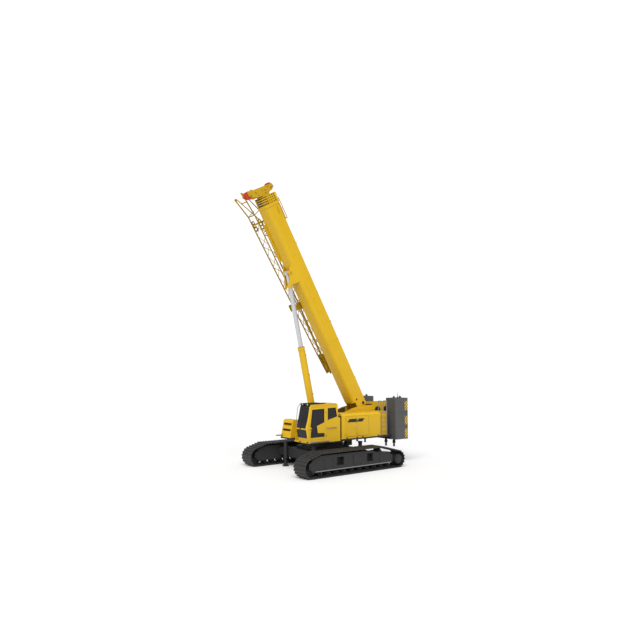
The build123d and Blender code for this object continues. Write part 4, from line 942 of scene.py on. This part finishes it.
class CRANE_OT_winch_ropes(bpy.types.Operator):
    """Wind the ropes on both winch drums and fit their bolts, gearbox covers and the well's dark liners, painted shade
    under the boom that also stands in for the dark hoses there
    """

    bl_idname = "crane.winch_ropes"
    bl_label = "Wind the Winches"

    def execute(self, context):
        sizes = context.scene.crane_winch
        step = sizes.rope
        turns = int(2 * sizes.half_width / step)
        profile = [(sizes.drum, -turns * step / 2)]
        for i in range(turns):
            low = (i - turns / 2) * step
            profile += [(sizes.drum + step * out, low + step * share)
                for out, share in ((0.42, 0.12), (0.5, 0.5), (0.42, 0.88), (0.1, 1.0))]
        for body in ("winch_drum_main", "winch_drum_auxiliary"):
            place = spot("main_winch_spin" if body.endswith("main") else "auxiliary_winch_spin")
            fitted(turned(body + "_rope", profile, place, LEFT, 40), body, "rope", smooth=60.0)
            first = bolt(body + "_bolts", place + Vector((0.24, 0.331, 0.0)), LEFT, 0.014)
            fitted(copies(first, round_about(place, "Y", 10)), body, "dull", both=True)
            cover = turned("gearbox_covers", ((0.205, 0.001), (0.205, 0.022), (0.19, 0.03), (0.12, 0.034),
                (0.11, 0.06), (0.04, 0.066)), (place.x, 0.4, place.z), LEFT, 36)
            nut = bolt("gearbox_covers", (place.x + 0.165, 0.431, place.z), LEFT, 0.013)
            fitted([cover, copies(nut, round_about((place.x, 0.4, place.z), "Y", 10))], "upper", "black")
        # dark liners on the well's sides: painted shade under the boom's belly, standing in also for the dark hoses
        # there
        liner = plate("well_shade_liners", flat(0.467, (-0.35, 2.4), (-0.35, 2.54), (-1.05, 2.77), (-1.75, 2.99),
            (-1.95, 3.00), (-1.95, 2.4)), (0, 0.0075, 0), 0.001)
        fitted(liner, "upper", "groove", both=True)
        return {"FINISHED"}


class CRANE_OT_undercarriage_trim(bpy.types.Operator):
    """Add the drive covers with their hub bolts and the frame bolts of the tracks"""

    bl_idname = "crane.undercarriage_trim"
    bl_label = "Trim the Undercarriage"

    def execute(self, context):
        hub_x, hub_z, hub_y = -2.85, 0.45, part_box("final_drive_left")[1][1]
        cover = turned("drive_covers", ((0.235, -0.006), (0.235, 0.004), (0.21, 0.012), (0.1, 0.014), (0.09, 0.02),
            (0.03, 0.02)), (hub_x, hub_y, hub_z), LEFT, 36)
        heads = copies(bolt("drive_covers", (hub_x + 0.185, hub_y + 0.012, hub_z), LEFT, 0.013),
            round_about((hub_x, hub_y, hub_z), "Y", 12))
        fitted([cover, heads], "undercarriage", "chassis", both=True)
        frame_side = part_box("track_frame_left")[1][1]
        bolts = [bolt("frame_bolts", (x, frame_side, z), LEFT, 0.017)
            for x in (-2.1, -1.62, -0.3, 0.2, 1.52, 2.05) for z in (0.47, 0.8)]
        fitted(bolts, "undercarriage", "chassis", both=True)
        return {"FINISHED"}


class CRANE_OT_tracks(bpy.types.Operator):
    """Lay the shoes and chain links of both tracks and fit the skids and seams on their frames, and pale strips of
    painted light along their lower edges
    """

    bl_idname = "crane.tracks"
    bl_label = "Lay the Tracks"

    def rounds(self, sizes):
        """Centre x, centre z and radius of the rounds under the belt, rear to front along the ground."""
        front_roller, rear_roller, radius = 2.26, -1.7, 0.21
        return ((sizes.rear_x, sizes.rear_radius, sizes.rear_radius),
            (sizes.front_x, sizes.front_radius, sizes.front_radius),
            (front_roller, sizes.top - radius, radius), (rear_roller, sizes.top - radius, radius))

    def path(self, sizes):
        """Arcs and straight runs of the belt's outer face, in order, each with its length."""
        rounds = self.rounds(sizes)
        angles = []
        for (x0, z0, r0), (x1, z1, r1) in zip(rounds, rounds[1:] + rounds[:1]):
            heading = math.atan2(z1 - z0, x1 - x0)
            angles.append(heading - math.acos((r0 - r1) / math.hypot(x1 - x0, z1 - z0)))
        pieces = []
        for i, (x, z, radius) in enumerate(rounds):
            begin, end = angles[i - 1], angles[i]
            while end < begin:
                end += math.tau
            pieces.append(("arc", (x, z, radius, begin), radius * (end - begin)))
            nx, nz, nr = rounds[(i + 1) % len(rounds)]
            start = (x + radius * math.cos(end), z + radius * math.sin(end))
            stop = (nx + nr * math.cos(end), nz + nr * math.sin(end))
            pieces.append(("run", (start, stop, end), math.dist(start, stop)))
        return pieces

    def places(self, sizes):
        """Matrix of each shoe: z points out of the belt and x runs along it."""
        pieces = self.path(sizes)
        length = sum(piece[2] for piece in pieces)
        count = round(length / sizes.pitch)
        matrices = []
        for k in range(count):
            distance = (k + 0.5) * length / count
            for kind, facts, reach in pieces:
                if distance <= reach:
                    break
                distance -= reach
            if kind == "arc":
                x, z, radius, begin = facts
                angle = begin + distance / radius
                x, z = x + radius * math.cos(angle), z + radius * math.sin(angle)
            else:
                start, stop, angle = facts
                share = distance / reach
                x, z = (a + (b - a) * share for a, b in zip(start, stop))
            turn = Matrix(((math.sin(angle), 0, math.cos(angle)), (0, 1, 0), (-math.cos(angle), 0, math.sin(angle))))
            matrices.append(Matrix.Translation((x, sizes.gauge / 2, z)) @ turn.to_4x4())
        return matrices

    def shoe(self, sizes):
        """Shoe with its raised tread and the two rails of its link."""
        half, width = sizes.pitch / 2 - 0.003, sizes.width
        outline = flat(-width / 2, (-half, -0.062), (half, -0.062), (half, -0.046), (0.05, -0.044), (0.038, 0.0),
            (-0.034, 0.0), (-0.048, -0.044), (-half, -0.046))
        shoe = plate("tread", outline, (0, width, 0), 0.003)
        links = [slab("tread", (-half, y - 0.028, -0.095), (half, y + 0.028, -0.055), 0.006) for y in (-0.12, 0.12)]
        return joined([shoe, *links])

    def execute(self, context):
        sizes = context.scene.crane_tracks
        places = self.places(sizes)
        back = places[0].inverted()
        for side, sign in (("left", 1), ("right", -1)):
            shift = Matrix.Translation((0, (sign - 1) * sizes.gauge / 2, 0))
            shoe = settled(self.shoe(sizes), shift @ places[0])
            tread = copies(shoe, [shift @ place @ back @ shift.inverted() for place in places[1:]])
            tread.name = "tread_" + side
            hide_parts("track_" + side)
            fitted(tread, "undercarriage", "track")
        skids = []
        crown = ((-1.45, 0.885), (1.8, 0.885), (2.55, 0.6), (2.82, 0.62), (2.86, 0.74), (2.74, 0.88), (2.58, 0.95),
            (2.28, 1.04), (-1.02, 1.032))
        rear = ((-2.42, 0.62), (-1.55, 0.86), (-1.55, 0.945), (-2.3, 0.86))
        for cheek in (2.077, 2.683):
            skids.append(plate("track_skids", flat(cheek - 0.019, *crown), (0, 0.038, 0), 0.003))
            skids.append(plate("track_skids", flat(cheek - 0.015, *rear), (0, 0.03, 0), 0.004))
        fitted(skids, "undercarriage", "chassis", both=True)
        seams = [rail("frame_seams", flat(2.701, (x, 0.4), (x, 0.87)), 0.006) for x in (2.06, -1.58)]
        fitted(seams, "undercarriage", "chassis", both=True, smooth=60.0)
        # pale zinc strip along each frame's lower edge: painted light, for the bright line that shows under the frame
        strip = slab("frame_light_strips", (-2.36, 2.722, 0.3), (2.62, 2.73, 0.345), 0.002)
        fitted(strip, "undercarriage", "rail", both=True)
        return {"FINISHED"}


class CRANE_OT_stage(bpy.types.Operator):
    """Add the floor, the even sky, the broad lamp and the camera"""

    bl_idname = "crane.stage"
    bl_label = "Set the Stage"

    def execute(self, context):
        sizes = context.scene.crane_stage
        rest()
        bpy.ops.mesh.primitive_circle_add(vertices=96, radius=260.0, fill_type="NGON")
        floor = named("studio_floor")
        pale = Finish("studio_floor")
        cloud = pale.noise(0.05, 2.0)
        floor.data.materials.append(pale.surface(
            Base_Color=pale.mix(cloud, (0.9, 0.9, 0.9), (0.888, 0.888, 0.89)), Roughness=0.9,
            Specular_IOR_Level=0.0))
        seen_sky, spread = 1.1, 48.0
        world = bpy.data.worlds.new("studio")
        world.use_nodes = True
        tree = world.node_tree
        backdrop = tree.nodes["Background"]
        backdrop.inputs["Color"].default_value = (1.0, 1.0, 1.0, 1.0)
        ray = tree.nodes.new("ShaderNodeLightPath")
        strength = tree.nodes.new("ShaderNodeMapRange")
        strength.inputs["To Min"].default_value = sizes.sky
        strength.inputs["To Max"].default_value = seen_sky
        tree.links.new(ray.outputs["Is Camera Ray"], strength.inputs["Value"])
        tree.links.new(strength.outputs["Result"], backdrop.inputs["Strength"])
        context.scene.world = world
        bpy.ops.object.light_add(type="SUN", location=(9.0, 9.5, 15.0))
        lamp = named("key_light")
        lamp.data.energy = sizes.key
        lamp.data.angle = math.radians(spread)
        lamp.rotation_mode = "QUATERNION"
        lamp.rotation_quaternion = (-lamp.location).to_track_quat("-Z", "Y")
        context.scene.view_settings.view_transform = "Standard"
        bpy.ops.object.camera_add(location=(sizes.ahead, sizes.aside, sizes.height))
        camera = named("camera")
        tilt, turn = 0.0792, 0.6655
        camera.rotation_euler = (math.pi / 2 + tilt, 0.0, math.pi - turn)
        camera.data.lens = sizes.lens
        camera.data.sensor_width = 36.0
        camera.data.clip_end = 1000.0
        context.scene.camera = camera
        return {"FINISHED"}


class CRANE_PT_panel(bpy.types.Panel):
    """Lists the crane's steps"""

    bl_idname = "CRANE_PT_panel"
    bl_label = "Crawler Crane"
    bl_space_type = "VIEW_3D"
    bl_region_type = "UI"
    bl_category = "Crane"

    def draw(self, context):
        for step in STEPS:
            self.layout.operator(step.bl_idname)


STEPS = (CRANE_OT_stage, CRANE_OT_coats, CRANE_OT_boom_fittings, CRANE_OT_collar_fittings, CRANE_OT_head_fittings,
    CRANE_OT_cylinder_fittings, CRANE_OT_cab_trim, CRANE_OT_cab_inside, CRANE_OT_hood_trim, CRANE_OT_right_side,
    CRANE_OT_counterweight_trim, CRANE_OT_winch_ropes, CRANE_OT_undercarriage_trim, CRANE_OT_tracks)
GROUPS = {"crane_finish": CraneFinish, "crane_stage": StageSizes, "crane_boom": BoomSizes, "crane_cab": CabSizes,
    "crane_hood": HoodSizes, "crane_winch": WinchSizes, "crane_tracks": TrackSizes}


def register():
    for kind in (*GROUPS.values(), *STEPS, CRANE_PT_panel):
        bpy.utils.register_class(kind)
    for name, kind in GROUPS.items():
        setattr(bpy.types.Scene, name, bpy.props.PointerProperty(type=kind))


def unregister():
    for name in GROUPS:
        delattr(bpy.types.Scene, name)
    for kind in (CRANE_PT_panel, *reversed(STEPS), *GROUPS.values()):
        bpy.utils.unregister_class(kind)


def main():
    register()
    for step in STEPS:
        group, action = step.bl_idname.split(".")
        getattr(getattr(bpy.ops, group), action)()


if __name__ == "__main__":
    main()
